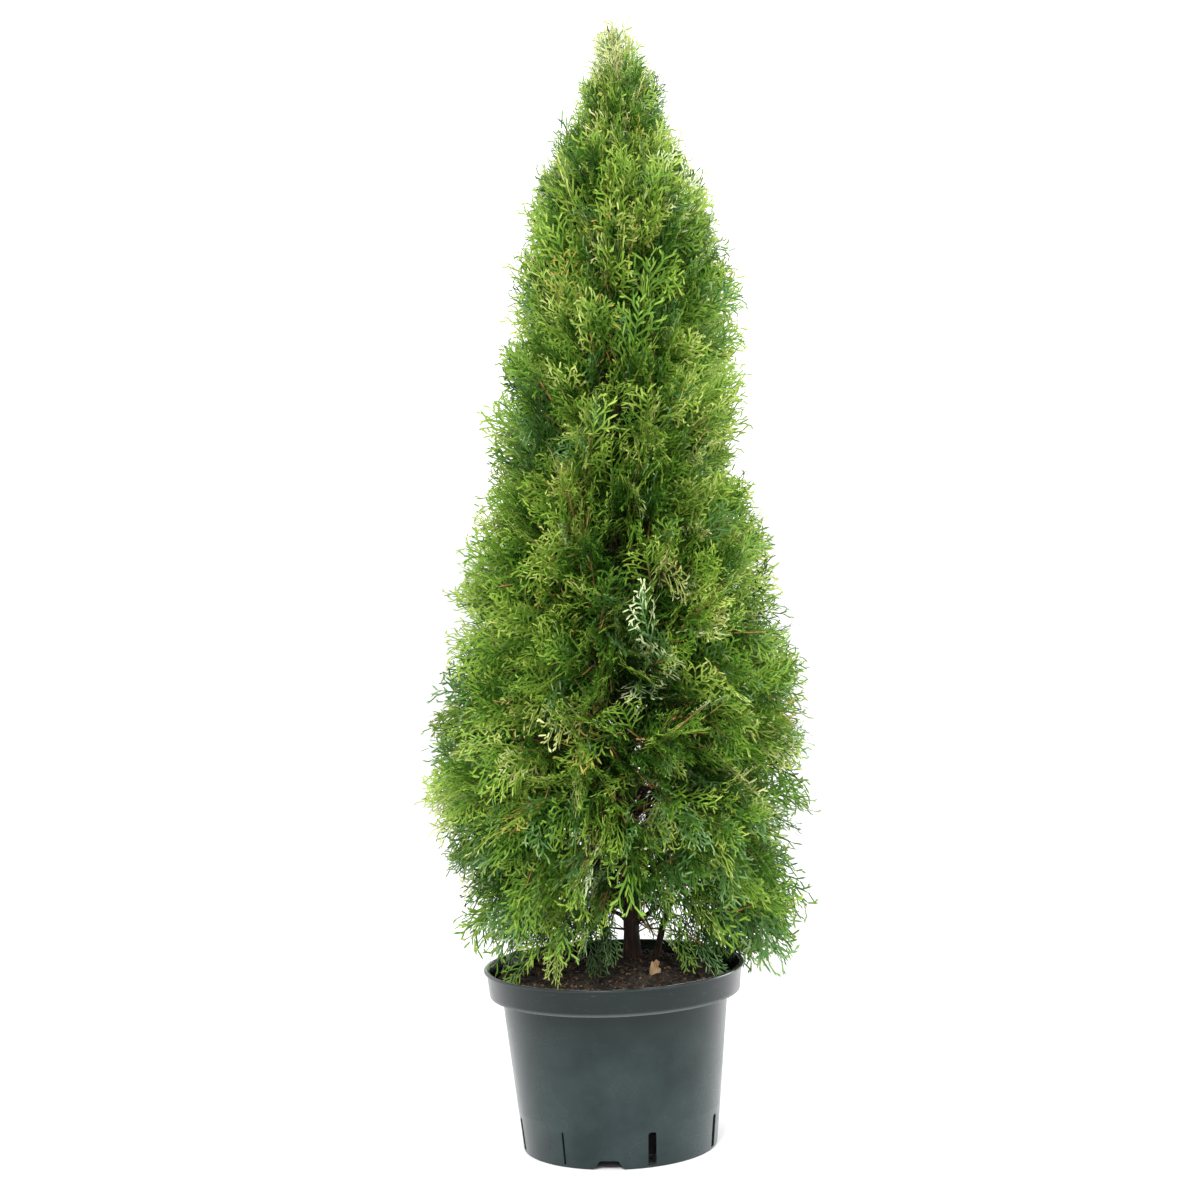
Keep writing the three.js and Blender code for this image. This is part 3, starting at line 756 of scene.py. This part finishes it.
def grow_branch(foot, turn):
    """A branch from the trunk to a little short of the outline, which it leaves to its sprays."""
    out = heading(turn)
    rise = math.radians(min(along(BRANCH_RISE, foot[2]) + rng.normal(0, 7), STEEPEST_BRANCH))
    short = 0.55 * SPRAY_LENGTH * np.interp(foot[2], [1.0, 1.3], [1.0, 0.5])
    tries = np.linspace(0.008, 0.32, 80)
    tips = foot + raised(out, rise) / math.cos(rise) * tries[:, None]
    room = outline_radius(tips) * rng.uniform(0.90, 1.0) - short - axis_distance(tips)
    fits = (room > 0) & (tips[:, 2] < TRUNK_TOP - 0.03)
    last = max(int(np.argmin(fits)) - 1, 0)
    reach, tip = tries[last], tips[last]
    steeper = math.radians(along(BRANCH_RISE, foot[2]) + along(BRANCH_ARCH, foot[2]))
    bend = foot + raised(out, steeper) * reach * 0.55
    path = bezier(foot, bend, tip, np.linspace(0, 1, 9))
    path[1:-1] += rng.normal(0, 0.012, (7, 3)) * reach
    thick = 0.0016 + 0.010 * reach
    branch_paths.append(path)
    branch_radii.append(np.linspace(thick, 0.0010, len(path)))
    add_twig(path[[4, 5, 7, 8]], thick * 0.75, rng.choice([BROWN, ORANGE]))
    grow_twigs(path, along(BARE_SHARE, foot[2]))


def grow_crown():
    """Branches by the golden angle, and upright sprays along the topmost trunk."""
    heights = np.linspace(LOWEST_BRANCH, HIGHEST_BRANCH, 400)
    front = trunk_at(heights) + np.array([0, -0.01, 0])
    share = np.cumsum((outline_radius(front) ** 0.8 + 0.02) * along(BRANCH_CROWDING, heights))
    for i in range(BRANCH_COUNT):
        want = (i + 0.5) / BRANCH_COUNT * share[-1]
        foot = trunk_at(np.interp(want, share, heights))
        grow_branch(foot, i * GOLDEN_ANGLE + rng.normal(0, 0.12))
    for height in np.linspace(1.28, TRUNK_TOP - 0.030, TOP_SPRAYS):
        turn = rng.uniform(0, 2 * math.pi)
        way = unit(np.array([math.cos(turn) * 0.30, math.sin(turn) * 0.30, 1.0]))
        normal = np.array([math.sin(turn), -math.cos(turn), 0])
        sprays.append((trunk_at(height), way, normal, SPRAY_LENGTH * rng.uniform(0.5, 0.68)))


grow_crown()
grow_bare_twigs()
place_sprays()


# ---- sprays to leaves

def patchiness(points):
    """Smooth noise from about -1 to 1, in patches a hand wide, which lights or darkens the sprays."""
    ways = unit(np.random.default_rng(5).normal(0, 1, (6, 3)))
    scales = np.array([24, 31, 38, 47, 58, 70])
    shifts = np.array([0.3, 2.1, 4.4, 1.2, 5.5, 3.0])
    return np.sin(points @ ways.T * scales + shifts).sum(axis=1) / 2.4


# The colours against height: how light the sprays are, the painted shade at the foot of the crown, the pale
# tip, and how far the painted shade darkens the inside of the crown
LIGHT = {0.3: 0.0, 0.55: 0.1, 0.9: 0.45, 1.1: 0.30, 1.28: 0.05, 1.36: 0.5, 1.45: 1.4}
FOOT_SHADE = {0.30: 1.0, 0.70: 0.0}
TIP_LIGHT = {1.22: 0.0, 1.32: 0.30, 1.38: 1.0, 1.44: 3.0}
INSIDE_SHADE = {1.22: 1.0, 1.36: 0.1}
BLEACHED_X, BLEACHED_Z, BLEACHED_RADIUS = 0.070, 0.655, 0.050  # one pale patch at the front


def choose_families(foot, depth):
    """A colour family for each spray, by its height, side and patch, and how deep in the crown it lies."""
    x, y, z = foot.T
    # low carries the painted shade at the foot of the crown, which turns the sprays there to darker, cooler
    # families
    high, low, tip = along(LIGHT, z), along(FOOT_SHADE, z), along(TIP_LIGHT, z)
    side = (x - trunk_at(z)[:, 0]) / np.maximum(outline_radius(foot), 0.02)
    # painted light: on the right side, below 0.9 m, the sprays lean to the pale and cool families
    painted_light_right = np.interp(x, [0.13, 0.24], [0.0, 1.0]) * (z < 0.9)
    # painted light: on the left side of the crown, above its foot, the sprays lean to lighter, yellower
    # families
    left = np.interp(side, [-0.85, -0.45], [1.0, 0.0]) * np.interp(z, [0.34, 0.48], [0.0, 1.0])
    # painted shade: sprays deep inside the crown lean to the shade and deep families and away from the light
    # ones, less so near the tip
    painted_inside_shade = np.clip((depth - 0.12) * 3.5, 0, 1) * along(INSIDE_SHADE, z)
    patch = patchiness(foot)
    light, dull = np.exp(0.8 * patch + left) * (1 - painted_inside_shade), np.exp(-0.8 * patch)
    bleached = (np.hypot(x - BLEACHED_X, (z - BLEACHED_Z) * 1.4) < BLEACHED_RADIUS) & (y < -0.05)
    weights = np.stack(
        [
            dull * (0.10 + 1.8 * painted_inside_shade + 0.45 * low),  # shade
            dull * (0.36 + 1.0 * painted_inside_shade + 0.80 * low) * np.maximum(1 - 0.6 * high, 0.2),  # deep
            0.60 + 0 * high,  # middle
            light * (0.60 + 0.4 * high),  # fresh
            light * (0.10 + 0.80 * high + 0.30 * left),  # bright
            (0.22 * np.maximum(1 - 0.8 * high, 0) + 0.45 * painted_light_right + 0.50 * low) * (1 - 0.6 * painted_inside_shade),  # cool
            light * (0.02 + 0.03 * high + 0.35 * painted_light_right + 1.2 * bleached + 0.2 * tip),  # pale
            0.07 * (1 - painted_inside_shade),  # golden
            0.03 + light * (0.05 + 0.45 * left + 0.9 * tip),  # olive
        ]
    )
    total = np.cumsum(weights / weights.sum(axis=0), axis=0)
    return (rng.random(len(foot)) > total).sum(axis=0).clip(0, len(LEAF_FAMILIES) - 1)


LOWEST_LEAF = 0.224
INNER_SHARE = 0.45  # of the sprays deep in the crown are kept
PLACED_DEPTH = 0.22  # how deep the placed sprays count for their colour


def in_window(points):
    inside = np.zeros(len(points), dtype=bool)
    for x, z, radius in SKY_WINDOWS:
        inside |= np.hypot(points[:, 0] - x, points[:, 2] - z) < radius
    return inside


def under_hem(points):
    """Whether points lie lower than the hem, as the camera sees them."""
    x, y, z = points.T
    closer = EYE_DISTANCE / (EYE_DISTANCE + y)
    seen_height = EYE_HEIGHT + (z - EYE_HEIGHT) * closer
    behind = np.interp(y, [0.0, 0.05], [0.0, 0.028])  # the sprays behind the trunk hang lower
    return seen_height < along(HEM, x * closer) - behind


def fit_sprays():
    """Draws in the sprays that would leave the outline, and drops those that can't fit or close a window."""
    foot, way, normal, length = (np.array(part) for part in zip(*sprays))
    loose = rng.uniform(0.95, 1.02, len(foot))
    slack = np.interp(foot[:, 2], [1.0, 1.3], [0.006, -0.003])
    for _ in range(5):
        tip = foot + way * length[:, None]
        outside = axis_distance(tip) > outline_radius(tip) * loose + slack
        foot = np.where(outside[:, None], foot - way * 0.09 * length[:, None], foot)
        length = np.where(outside, length * 0.94, length)
    tip = foot + way * length[:, None]
    room = outline_radius(tip) * 1.06 + slack + 0.004 - axis_distance(tip)
    shortest = np.interp(tip[:, 2], [1.28, 1.38], [0.035, 0.046])
    keep = (room > 0) & (length > shortest) & (tip[:, 2] < cad_box[1][2] + 0.004)
    keep &= ~in_window(tip) & ~in_window(foot + way * length[:, None] * 0.5)
    hanging = tip - np.outer(along(SPRAY_DROOP, foot[:, 2]) * length, UP)
    keep &= (hanging[:, 2] > LOWEST_LEAF) & ~under_hem(hanging)
    keep &= rng.random(len(tip)) < np.interp(tip[:, 2], [1.38, 1.43], [1.0, 0.6])
    depth = 1 - axis_distance(tip) / np.maximum(outline_radius(tip), 0.02)
    level = (tip[:, 2] > 0.40) & (tip[:, 2] < 0.86)
    beside = level & (np.abs(tip[:, 0] - trunk_at(tip[:, 2])[:, 0]) < 0.06)  # these hide the trunk
    keep &= (depth < 0.4) | (rng.random(len(depth)) < np.where(beside, 1.0, INNER_SHARE))
    extra = [np.array(part) for part in zip(*placed_sprays)] + [np.full(len(placed_sprays), PLACED_DEPTH)]
    fitted = (foot[keep], way[keep], normal[keep], length[keep], depth[keep])
    return [np.concatenate(pair) for pair in zip(fitted, extra)]


def add_spray_twigs(foot, way, length, depth):
    """The brown wood along the middles of some sprays."""
    for i in np.flatnonzero(rng.random(len(foot)) < 0.55):
        share = rng.uniform(0.30, 0.72)
        points = foot[i] + way[i] * length[i] * share * np.array(TWIG_STEPS)[:, None]
        points += 0.0015 * outward_of(foot[i])
        tint = DARK if depth[i] > 0.35 else rng.choice([BROWN, BROWN, ORANGE])
        add_twig(points, rng.uniform(0.0011, 0.0017), tint, 1.02)


def make_leaves():
    foot, way, normal, length, depth = fit_sprays()
    add_spray_twigs(foot, way, length, depth)
    templates = [Spray(SEED * 100 + k) for k in range(SPRAY_TEMPLATES)]
    kind = rng.integers(0, SPRAY_TEMPLATES, len(foot))
    droop = along(SPRAY_DROOP, foot[:, 2]) + rng.normal(0, 0.08, len(foot))
    wide = rng.choice([-1, 1], len(foot)) * rng.uniform(0.85, 1.15, len(foot))
    family = choose_families(foot, depth)
    slot_names = list(LEAF_MATERIALS)
    palette = np.array([[slot_names.index(colour) for colour in row] for row in LEAF_FAMILIES.values()])
    masses = {tier: [name for name in MASSES if name.startswith(tier + "_")] for tier in TIERS}
    tier_tops = [max(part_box(name)[1][2] for name in names) for names in masses.values()]
    tier = np.minimum(np.searchsorted(tier_tops, foot[:, 2] + 0.02), len(TIERS) - 1)
    side = unit(np.cross(normal, way))
    offset = foot - trunk_at(foot[:, 2])
    turn = np.arctan2(offset[:, 1], offset[:, 0])

    def leaf_piece(name, chosen):
        """One mesh of the chosen sprays: each a copy of its template, turned, scaled and drooped."""
        vertices, triangles, slots = [], [], []
        first = 0
        for k, template in enumerate(templates):
            some = chosen[kind[chosen] == k]
            shape = np.array(template.vertices)
            scale = length[some][:, None, None]
            placed = (
                foot[some][:, None, :]
                + scale * shape[None, :, 0:1] * way[some][:, None, :]
                + scale * shape[None, :, 1:2] * (side[some] * wide[some][:, None])[:, None, :]
                + scale * shape[None, :, 2:3] * normal[some][:, None, :]
            )
            placed[:, :, 2] -= scale[:, :, 0] * droop[some][:, None] * shape[None, :, 0] ** 2
            vertices.append(placed.reshape(-1, 3))
            offsets = first + np.arange(len(some))[:, None, None] * len(shape)
            triangles.append((np.array(template.triangles)[None] + offsets).reshape(-1, 3))
            slots.append(palette[family[some]][:, template.levels].ravel())
            first += len(some) * len(shape)
        parts = [np.concatenate(part) for part in (vertices, triangles, slots)]
        materials = list(LEAF_MATERIALS.values())
        return mesh_object(name, parts[0], parts[1], materials, parts[2])

    average = np.mean([len(template.triangles) for template in templates])
    for level, name in enumerate(TIERS):
        chosen = np.flatnonzero(tier == level)
        chosen = chosen[np.argsort(turn[chosen])]
        count = math.ceil(len(chosen) * average / PIECE_LIMIT)
        for i, part in enumerate(np.array_split(chosen, count)):
            leaves = leaf_piece(f"{name}_leaves" if count == 1 else f"{name}_leaves_{i + 1}", part)
            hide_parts(*masses[name])


make_leaves()


# ---- wood

def make_twigs():
    vertices, triangles, owner = tubes(twig_paths, twig_radii, 3)
    tints = np.array(twig_tints)[owner]
    mesh_object("twigs", vertices, triangles, list(TWIG_MATERIALS.values()), tints, True)
    vertices, triangles, _ = tubes(branch_paths, branch_radii, 6)
    mesh_object("branches", vertices, triangles, [BARK], None, True)


def limb(path, lengths, radii, sides, seed):
    """The vertices and triangles of one limb with the relief of its bark."""
    relief = bark_relief(lengths, radii, sides, seed)
    return tubes(path[None], radii[None], sides, relief[None])[:2]


def make_trunk():
    steps, sides = 260, 30
    heights = TRUNK_FOOT + (TRUNK_TOP - HIDDEN_TIP - TRUNK_FOOT) * np.linspace(0, 1, steps) ** 1.5
    radii = np.interp(heights, TRUNK_MIDDLES[:, 2], TRUNK_RADII)
    vertices, triangles = limb(trunk_at(heights), heights - TRUNK_FOOT, radii, sides, 3)
    trunk = mesh_object("trunk_bark", vertices, triangles, [BARK], None, True)
    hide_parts("trunk")


def make_boughs():
    """A limb with bark for each CAD bough and stem, between the same two ends."""
    vertices, triangles, first = [], [], 0
    steps, sides = 40, 12
    t = np.linspace(0, 1, steps)
    for seed, node in enumerate(BOUGHS):
        points = points_of(node)
        middle = points.mean(axis=0)
        axis = np.linalg.svd(points - middle)[2][0]
        if axis[2] < 0:
            axis = -axis
        reach = (points - middle) @ axis
        low, high = np.quantile(reach, [0.12, 0.88])
        foot = points[reach <= low].mean(axis=0)
        end = points[reach >= high].mean(axis=0)
        spread = np.linalg.norm(points - middle - reach[:, None] * axis, axis=1)
        thick = np.median(spread[reach <= low])
        path = foot + (end - foot) * t[:, None]
        radii = thick * np.interp(t, [0, 1], [1.05, 0.7])
        limb_vertices, limb_triangles = limb(path, t * np.linalg.norm(end - foot), radii, sides, 20 + seed)
        vertices.append(limb_vertices)
        triangles.append(limb_triangles + first)
        first += len(limb_vertices)
    vertices, triangles = np.concatenate(vertices), np.concatenate(triangles)
    boughs = mesh_object("boughs", vertices, triangles, [BARK], None, True)
    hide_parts(*BOUGHS)


make_twigs()
make_trunk()
make_boughs()


# ---- soil

SOIL_RADIUS = 0.1642
SOIL_EDGE_HEIGHT = 0.219
SOIL_TREE = tree_of("potting_soil")
CRUMBS, CRUMB_RADIUS = 1500, 0.155  # their number, and how far from the middle they lie
CRUMB_HALVES = [(1.5, 6.5), (1.0, 3.0), (0.6, 1.8)]  # half their length, width and height in millimetres
CHIP_PLACE = np.array([0.053, -0.050])


def soil_top(x, y):
    """The height of the crumbly surface that lies on the CAD model's smoother soil."""
    x, y = np.asarray(x, dtype=float), np.asarray(y, dtype=float)
    down = Vector((0, 0, -1))
    rays = [SOIL_TREE.ray_cast(Vector((a, b, 0.4)), down)[0] for a, b in zip(x * 0.99, y * 0.99)]
    base = np.array([hit.z if hit is not None else SOIL_EDGE_HEIGHT for hit in rays])
    relief = 0
    for size, rise in ((0.022, 0.0040), (0.010, 0.0030), (0.005, 0.0020)):
        noise = lattice_noise(x / size + 99, y / size + 99, 512, int(size * 1000))
        relief = relief + rise * (1 - np.abs(2 * noise - 1))
    edge = np.interp(np.hypot(x, y), [SOIL_RADIUS - 0.008, SOIL_RADIUS], [1.0, 0.0])
    return base + relief * edge - 0.0006


def make_soil_surface():
    rings, around = 74, 320
    radius = SOIL_RADIUS * np.linspace(0, 1, rings + 1)[1:, None]
    turn = np.arange(around)[None, :] * 2 * math.pi / around
    x, y = (radius * np.cos(turn)).ravel(), (radius * np.sin(turn)).ravel()
    x, y = np.append(x, 0.0), np.append(y, 0.0)
    vertices = np.stack([x, y, soil_top(x, y)], axis=1)
    grid = np.arange(rings * around).reshape(rings, around)
    hub = np.stack([np.full(around, rings * around), grid[0], np.roll(grid[0], -1)], axis=1)
    triangles = np.concatenate([grid_triangles(grid)[:, ::-1], hub])
    mesh_object("soil_surface", vertices, triangles, [SOIL], None, True)


def turned_about(axis, angle):
    return np.array(Matrix.Rotation(angle, 3, Vector(axis)))


def make_soil_bits():
    """Crumbs and bark chips: eight-sided lumps, most of them flat and long, that lie on the surface."""
    radius = CRUMB_RADIUS * np.sqrt(rng.random(CRUMBS))
    angle = rng.uniform(0, 2 * math.pi, CRUMBS)
    x, y = radius * np.cos(angle), radius * np.sin(angle)
    height = soil_top(x, y)
    lump = np.array([(1, 0, 0), (-1, 0, 0), (0, 1, 0), (0, -1, 0), (0, 0, 1), (0, 0, -1)], dtype=float)
    upper, lower = [(0, 2, 4), (2, 1, 4), (1, 3, 4), (3, 0, 4)], [(2, 0, 5), (1, 2, 5), (3, 1, 5), (0, 3, 5)]
    faces = np.array(upper + lower)
    vertices, triangles, tints = [], [], []
    for i in range(CRUMBS):
        half = np.array([rng.uniform(*limits) for limits in CRUMB_HALVES]) / 1000
        tilt = turned_about((1, 0, 0), rng.normal(0, 0.4)) @ turned_about((0, 1, 0), rng.normal(0, 0.4))
        spin = turned_about((0, 0, 1), rng.uniform(0, 2 * math.pi))
        corners = lump * half * rng.uniform(0.7, 1.3, (6, 1))
        vertices.append(corners @ (spin @ tilt).T + [x[i], y[i], height[i] + 0.4 * half[2]])
        triangles.append(faces + 6 * i)
        tints.append(np.full(8, rng.choice(3, p=[0.44, 0.36, 0.20])))
    parts = [np.concatenate(part) for part in (vertices, triangles, tints)]
    mesh_object("soil_bits", parts[0], parts[1], SOIL_BITS, parts[2], False)


def make_chip():
    """A tan chip of wood that stands in the soil in front of the trunk."""
    outline = [(-7, -8), (6, -8), (8, 4), (4, 6), (6, 13), (1, 16), (-3, 12), (-5, 14), (-8, 3)]
    front = [(x / 1000, -0.0020, z / 1000) for x, z in outline]
    back = [(0.86 * x / 1000, 0.0020, 0.9 * z / 1000) for x, z in outline]
    count = len(outline)
    triangles = [(0, i, i + 1) for i in range(1, count - 1)]
    triangles += [(count, count + i + 1, count + i) for i in range(1, count - 1)]
    for i in range(count):
        j = (i + 1) % count
        triangles += [(j, i, count + i), (j, count + i, count + j)]
    height = soil_top(CHIP_PLACE[:1], CHIP_PLACE[1:])[0]
    turned = turned_about((0, 0, 1), 0.35) @ turned_about((0, 1, 0), 0.16) @ turned_about((1, 0, 0), -0.2)
    vertices = np.array(front + back) @ turned.T + [*CHIP_PLACE, height + 0.002]
    mesh_object("wood_chip", vertices, triangles, [CHIP], None, False)


# painted shade: the CAD soil's body, seen only through the pot's slots, is made nearly black so that the
# slots look dark inside
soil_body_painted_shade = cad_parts["potting_soil"].data
soil_body_painted_shade.materials.clear()
soil_body_painted_shade.materials.append(chip_material("soil_body_painted_shade", (3, 3, 3), (10, 9, 8), 0.05))
make_soil_surface()
make_soil_bits()
make_chip()


# ---- pot

# (radius, height) in millimetres, round the pot from the middle of its underside to the middle of its floor
POT_PROFILE = [
    # the pad, the moat and the foot ring
    (0, 0), (57.5, 0), (58.5, 0.4), (62.5, 13.2), (63.6, 14), (124, 14), (125, 13), (125, 0.6), (125.6, 0),
    (127.4, 0), (128.4, 0.5), (129, 1.6),
    # the wall, the band and the beaded rim
    (134.5, 54.8), (134.6, 55.0), (134.7, 55.4), (149.7, 203.2), (150.2, 205.0), (151.4, 206.0),
    (164.8, 206.0), (165.8, 206.5), (166.3, 207.6), (169.3, 237.2), (169.7, 238.2), (171.6, 238.4),
    (172.6, 238.8), (173, 239.6), (173, 240.8), (172.6, 241.6), (171.8, 242), (168.0, 242), (167.2, 241.6),
    (166.9, 240.8),
    # the inside
    (163.9, 209.4), (163.2, 208.5), (148.6, 208.5), (147.7, 207.4), (128.2, 17.2), (127.4, 16.5),
    (61, 16.5), (60, 15.8), (56, 2.8), (55.2, 2.5), (0, 2.5),
]  # fmt: skip
POT_SIDES = 168
SLOT_TURNS = [-72, -21, 30, 82, 135, 193, -124]
CLOSED_SLOT, CLOSED_SHARE = 6, 0.27  # the last slot is moulded almost shut
NOTCH_TURNS = [-97, 23, 143]
CUT_FROM, CUT_TO = 0.121, 0.150  # radii that clear the wall on both sides
# Outlines of the cuts as (across, up) in millimetres
SLOT = [(-5.5, 4), (5.5, 4), (5.5, 43.5), (4.6, 45.9), (2.2, 47), (-2.2, 47), (-4.6, 45.9), (-5.5, 43.5)]
NOTCH = [
    (-26, -2), (26, -2), (22.4, -0.2), (19.4, 2), (16.9, 4.6), (15.1, 7), (14, 9), (12.9, 11), (11, 12),
    (-11, 12), (-12.9, 11), (-14, 9), (-15.1, 7), (-16.9, 4.6), (-19.4, 2), (-22.4, -0.2),
]  # fmt: skip


def turned_profile(profile, sides):
    """Vertices and faces of a closed surface about Z, from a profile that starts and ends on the axis."""
    profile = np.asarray(profile) / 1000
    turn = np.arange(sides) * 2 * math.pi / sides
    rings = profile[1:-1]
    x, y = rings[:, :1] * np.cos(turn), rings[:, :1] * np.sin(turn)
    z = np.repeat(rings[:, 1:], sides, axis=1)
    ends = [(0, 0, profile[0, 1]), (0, 0, profile[-1, 1])]
    vertices = [*np.stack([x, y, z], axis=-1).reshape(-1, 3), *ends]
    foot, top = len(vertices) - 2, len(vertices) - 1
    faces = []
    for j in range(sides):
        k = (j + 1) % sides
        faces.append((foot, k, j))
        for i in range(len(rings) - 1):
            faces.append((i * sides + j, i * sides + k, (i + 1) * sides + k, (i + 1) * sides + j))
        last = (len(rings) - 1) * sides
        faces.append((last + j, last + k, top))
    return vertices, faces


def cut_wall(pot, name, cuts):
    """Takes prisms out of the wall. Each cut is an outline, an azimuth and a share of its width."""
    vertices, faces = [], []
    for outline, azimuth, width in cuts:
        first, count = len(vertices), len(outline)
        out = heading(math.radians(azimuth))
        beside = np.array([-out[1], out[0], 0]) * width
        for reach in (CUT_FROM, CUT_TO):
            vertices += [out * reach + (beside * across + UP * up) / 1000 for across, up in outline]
        faces.append([first + i for i in reversed(range(count))])
        faces.append([first + count + i for i in range(count)])
        for i in range(count):
            j = (i + 1) % count
            faces.append([first + i, first + j, first + count + j, first + count + i])
    cutter = linked(name, faces_mesh(name, vertices, faces))
    modifier = pot.modifiers.new(name, "BOOLEAN")
    modifier.object = cutter
    modifier.operation = "DIFFERENCE"
    modifier.solver = "EXACT"
    return cutter


def make_pot():
    """The pot as a smooth turned surface with its slots and notches cut out."""
    pot = linked("pot_shell", faces_mesh("pot_whole", *turned_profile(POT_PROFILE, POT_SIDES)))
    slots = [(SLOT, turn, CLOSED_SHARE if i == CLOSED_SLOT else 1.0) for i, turn in enumerate(SLOT_TURNS)]
    notches = [(NOTCH, turn, 1.0) for turn in NOTCH_TURNS]
    cutters = [cut_wall(pot, "slots", slots), cut_wall(pot, "notches", notches)]
    bpy.context.view_layer.update()
    cut = bpy.data.meshes.new_from_object(pot.evaluated_get(bpy.context.evaluated_depsgraph_get()))
    pot.modifiers.clear()
    pot.data = cut
    for cutter in cutters:
        bpy.data.objects.remove(cutter, do_unlink=True)
    cut.polygons.foreach_set("use_smooth", np.ones(len(cut.polygons), dtype=bool))
    cut.set_sharp_from_angle(angle=math.radians(32))
    cut.materials.clear()
    cut.materials.append(pot_material())
    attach(pot, "root")
    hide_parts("pot")


make_pot()


# ---- floor, light and camera

FLOOR_HALF = 30.0
FRONT_LIGHT, BACK_LIGHT = 0.6, 1.6  # the studio is darker behind the camera than behind the plant
# Each soft light's place, what it points at, its size and its power
SOFTBOXES = {
    "key": ((-0.8, -3.4, 3.4), (0, 0, 0.8), 1.4, 185),
    "fill": ((2.2, -2.6, 2.0), (0, 0, 0.7), 1.8, 34),
    "rim": ((2.5, 0.9, 0.4), (0, 0, 0.12), 1.2, 52),
}


def make_floor():
    corners = [(x * FLOOR_HALF, y * FLOOR_HALF, 0) for x, y in ((-1, -1), (1, -1), (1, 1), (-1, 1))]
    mesh = faces_mesh("floor", corners, [(0, 1, 2, 3)])
    mesh.materials.append(plain_material("floor", (250, 250, 250), 0.9))
    linked("floor", mesh)


def make_studio():
    """A white world whose strength rises from behind the camera to behind the plant."""
    world = bpy.data.worlds.new("studio")
    world.use_nodes = True
    tree = world.node_tree
    direction = tree.nodes.new("ShaderNodeSeparateXYZ")
    coordinates = tree.nodes.new("ShaderNodeTexCoord")
    tree.links.new(coordinates.outputs["Generated"], direction.inputs["Vector"])
    strength = tree.nodes.new("ShaderNodeMapRange")
    limits = {"From Min": -0.5, "From Max": 0.3, "To Min": FRONT_LIGHT, "To Max": BACK_LIGHT}
    for socket, value in limits.items():
        strength.inputs[socket].default_value = value
    tree.links.new(direction.outputs["Y"], strength.inputs["Value"])
    tree.links.new(strength.outputs["Result"], tree.nodes["Background"].inputs["Strength"])
    tree.nodes["Background"].inputs["Color"].default_value = (1, 1, 1, 1)
    bpy.context.scene.world = world


def add_softbox(name, place, target, size, power):
    light = bpy.data.lights.new(name, "AREA")
    light.shape = "SQUARE"
    light.size = size
    light.energy = power
    lamp = linked(name, light)
    lamp.location = place
    lamp.rotation_euler = (Vector(target) - Vector(place)).to_track_quat("-Z", "Y").to_euler()


def make_camera():
    camera = bpy.data.cameras.new("camera")
    camera.sensor_width = SENSOR
    camera.lens = LENS
    dip = Matrix.Rotation(math.radians(90 - EYE_DIP), 4, "X")
    lean = Matrix.Rotation(math.radians(EYE_LEAN), 4, "Z")
    holder = linked("camera", camera)
    holder.matrix_world = Matrix.Translation((0, -EYE_DISTANCE, EYE_HEIGHT)) @ dip @ lean
    bpy.context.scene.camera = holder


make_floor()
make_studio()
for name, settings in SOFTBOXES.items():
    add_softbox(name, *settings)
make_camera()
bpy.context.scene.view_settings.view_transform = "Standard"
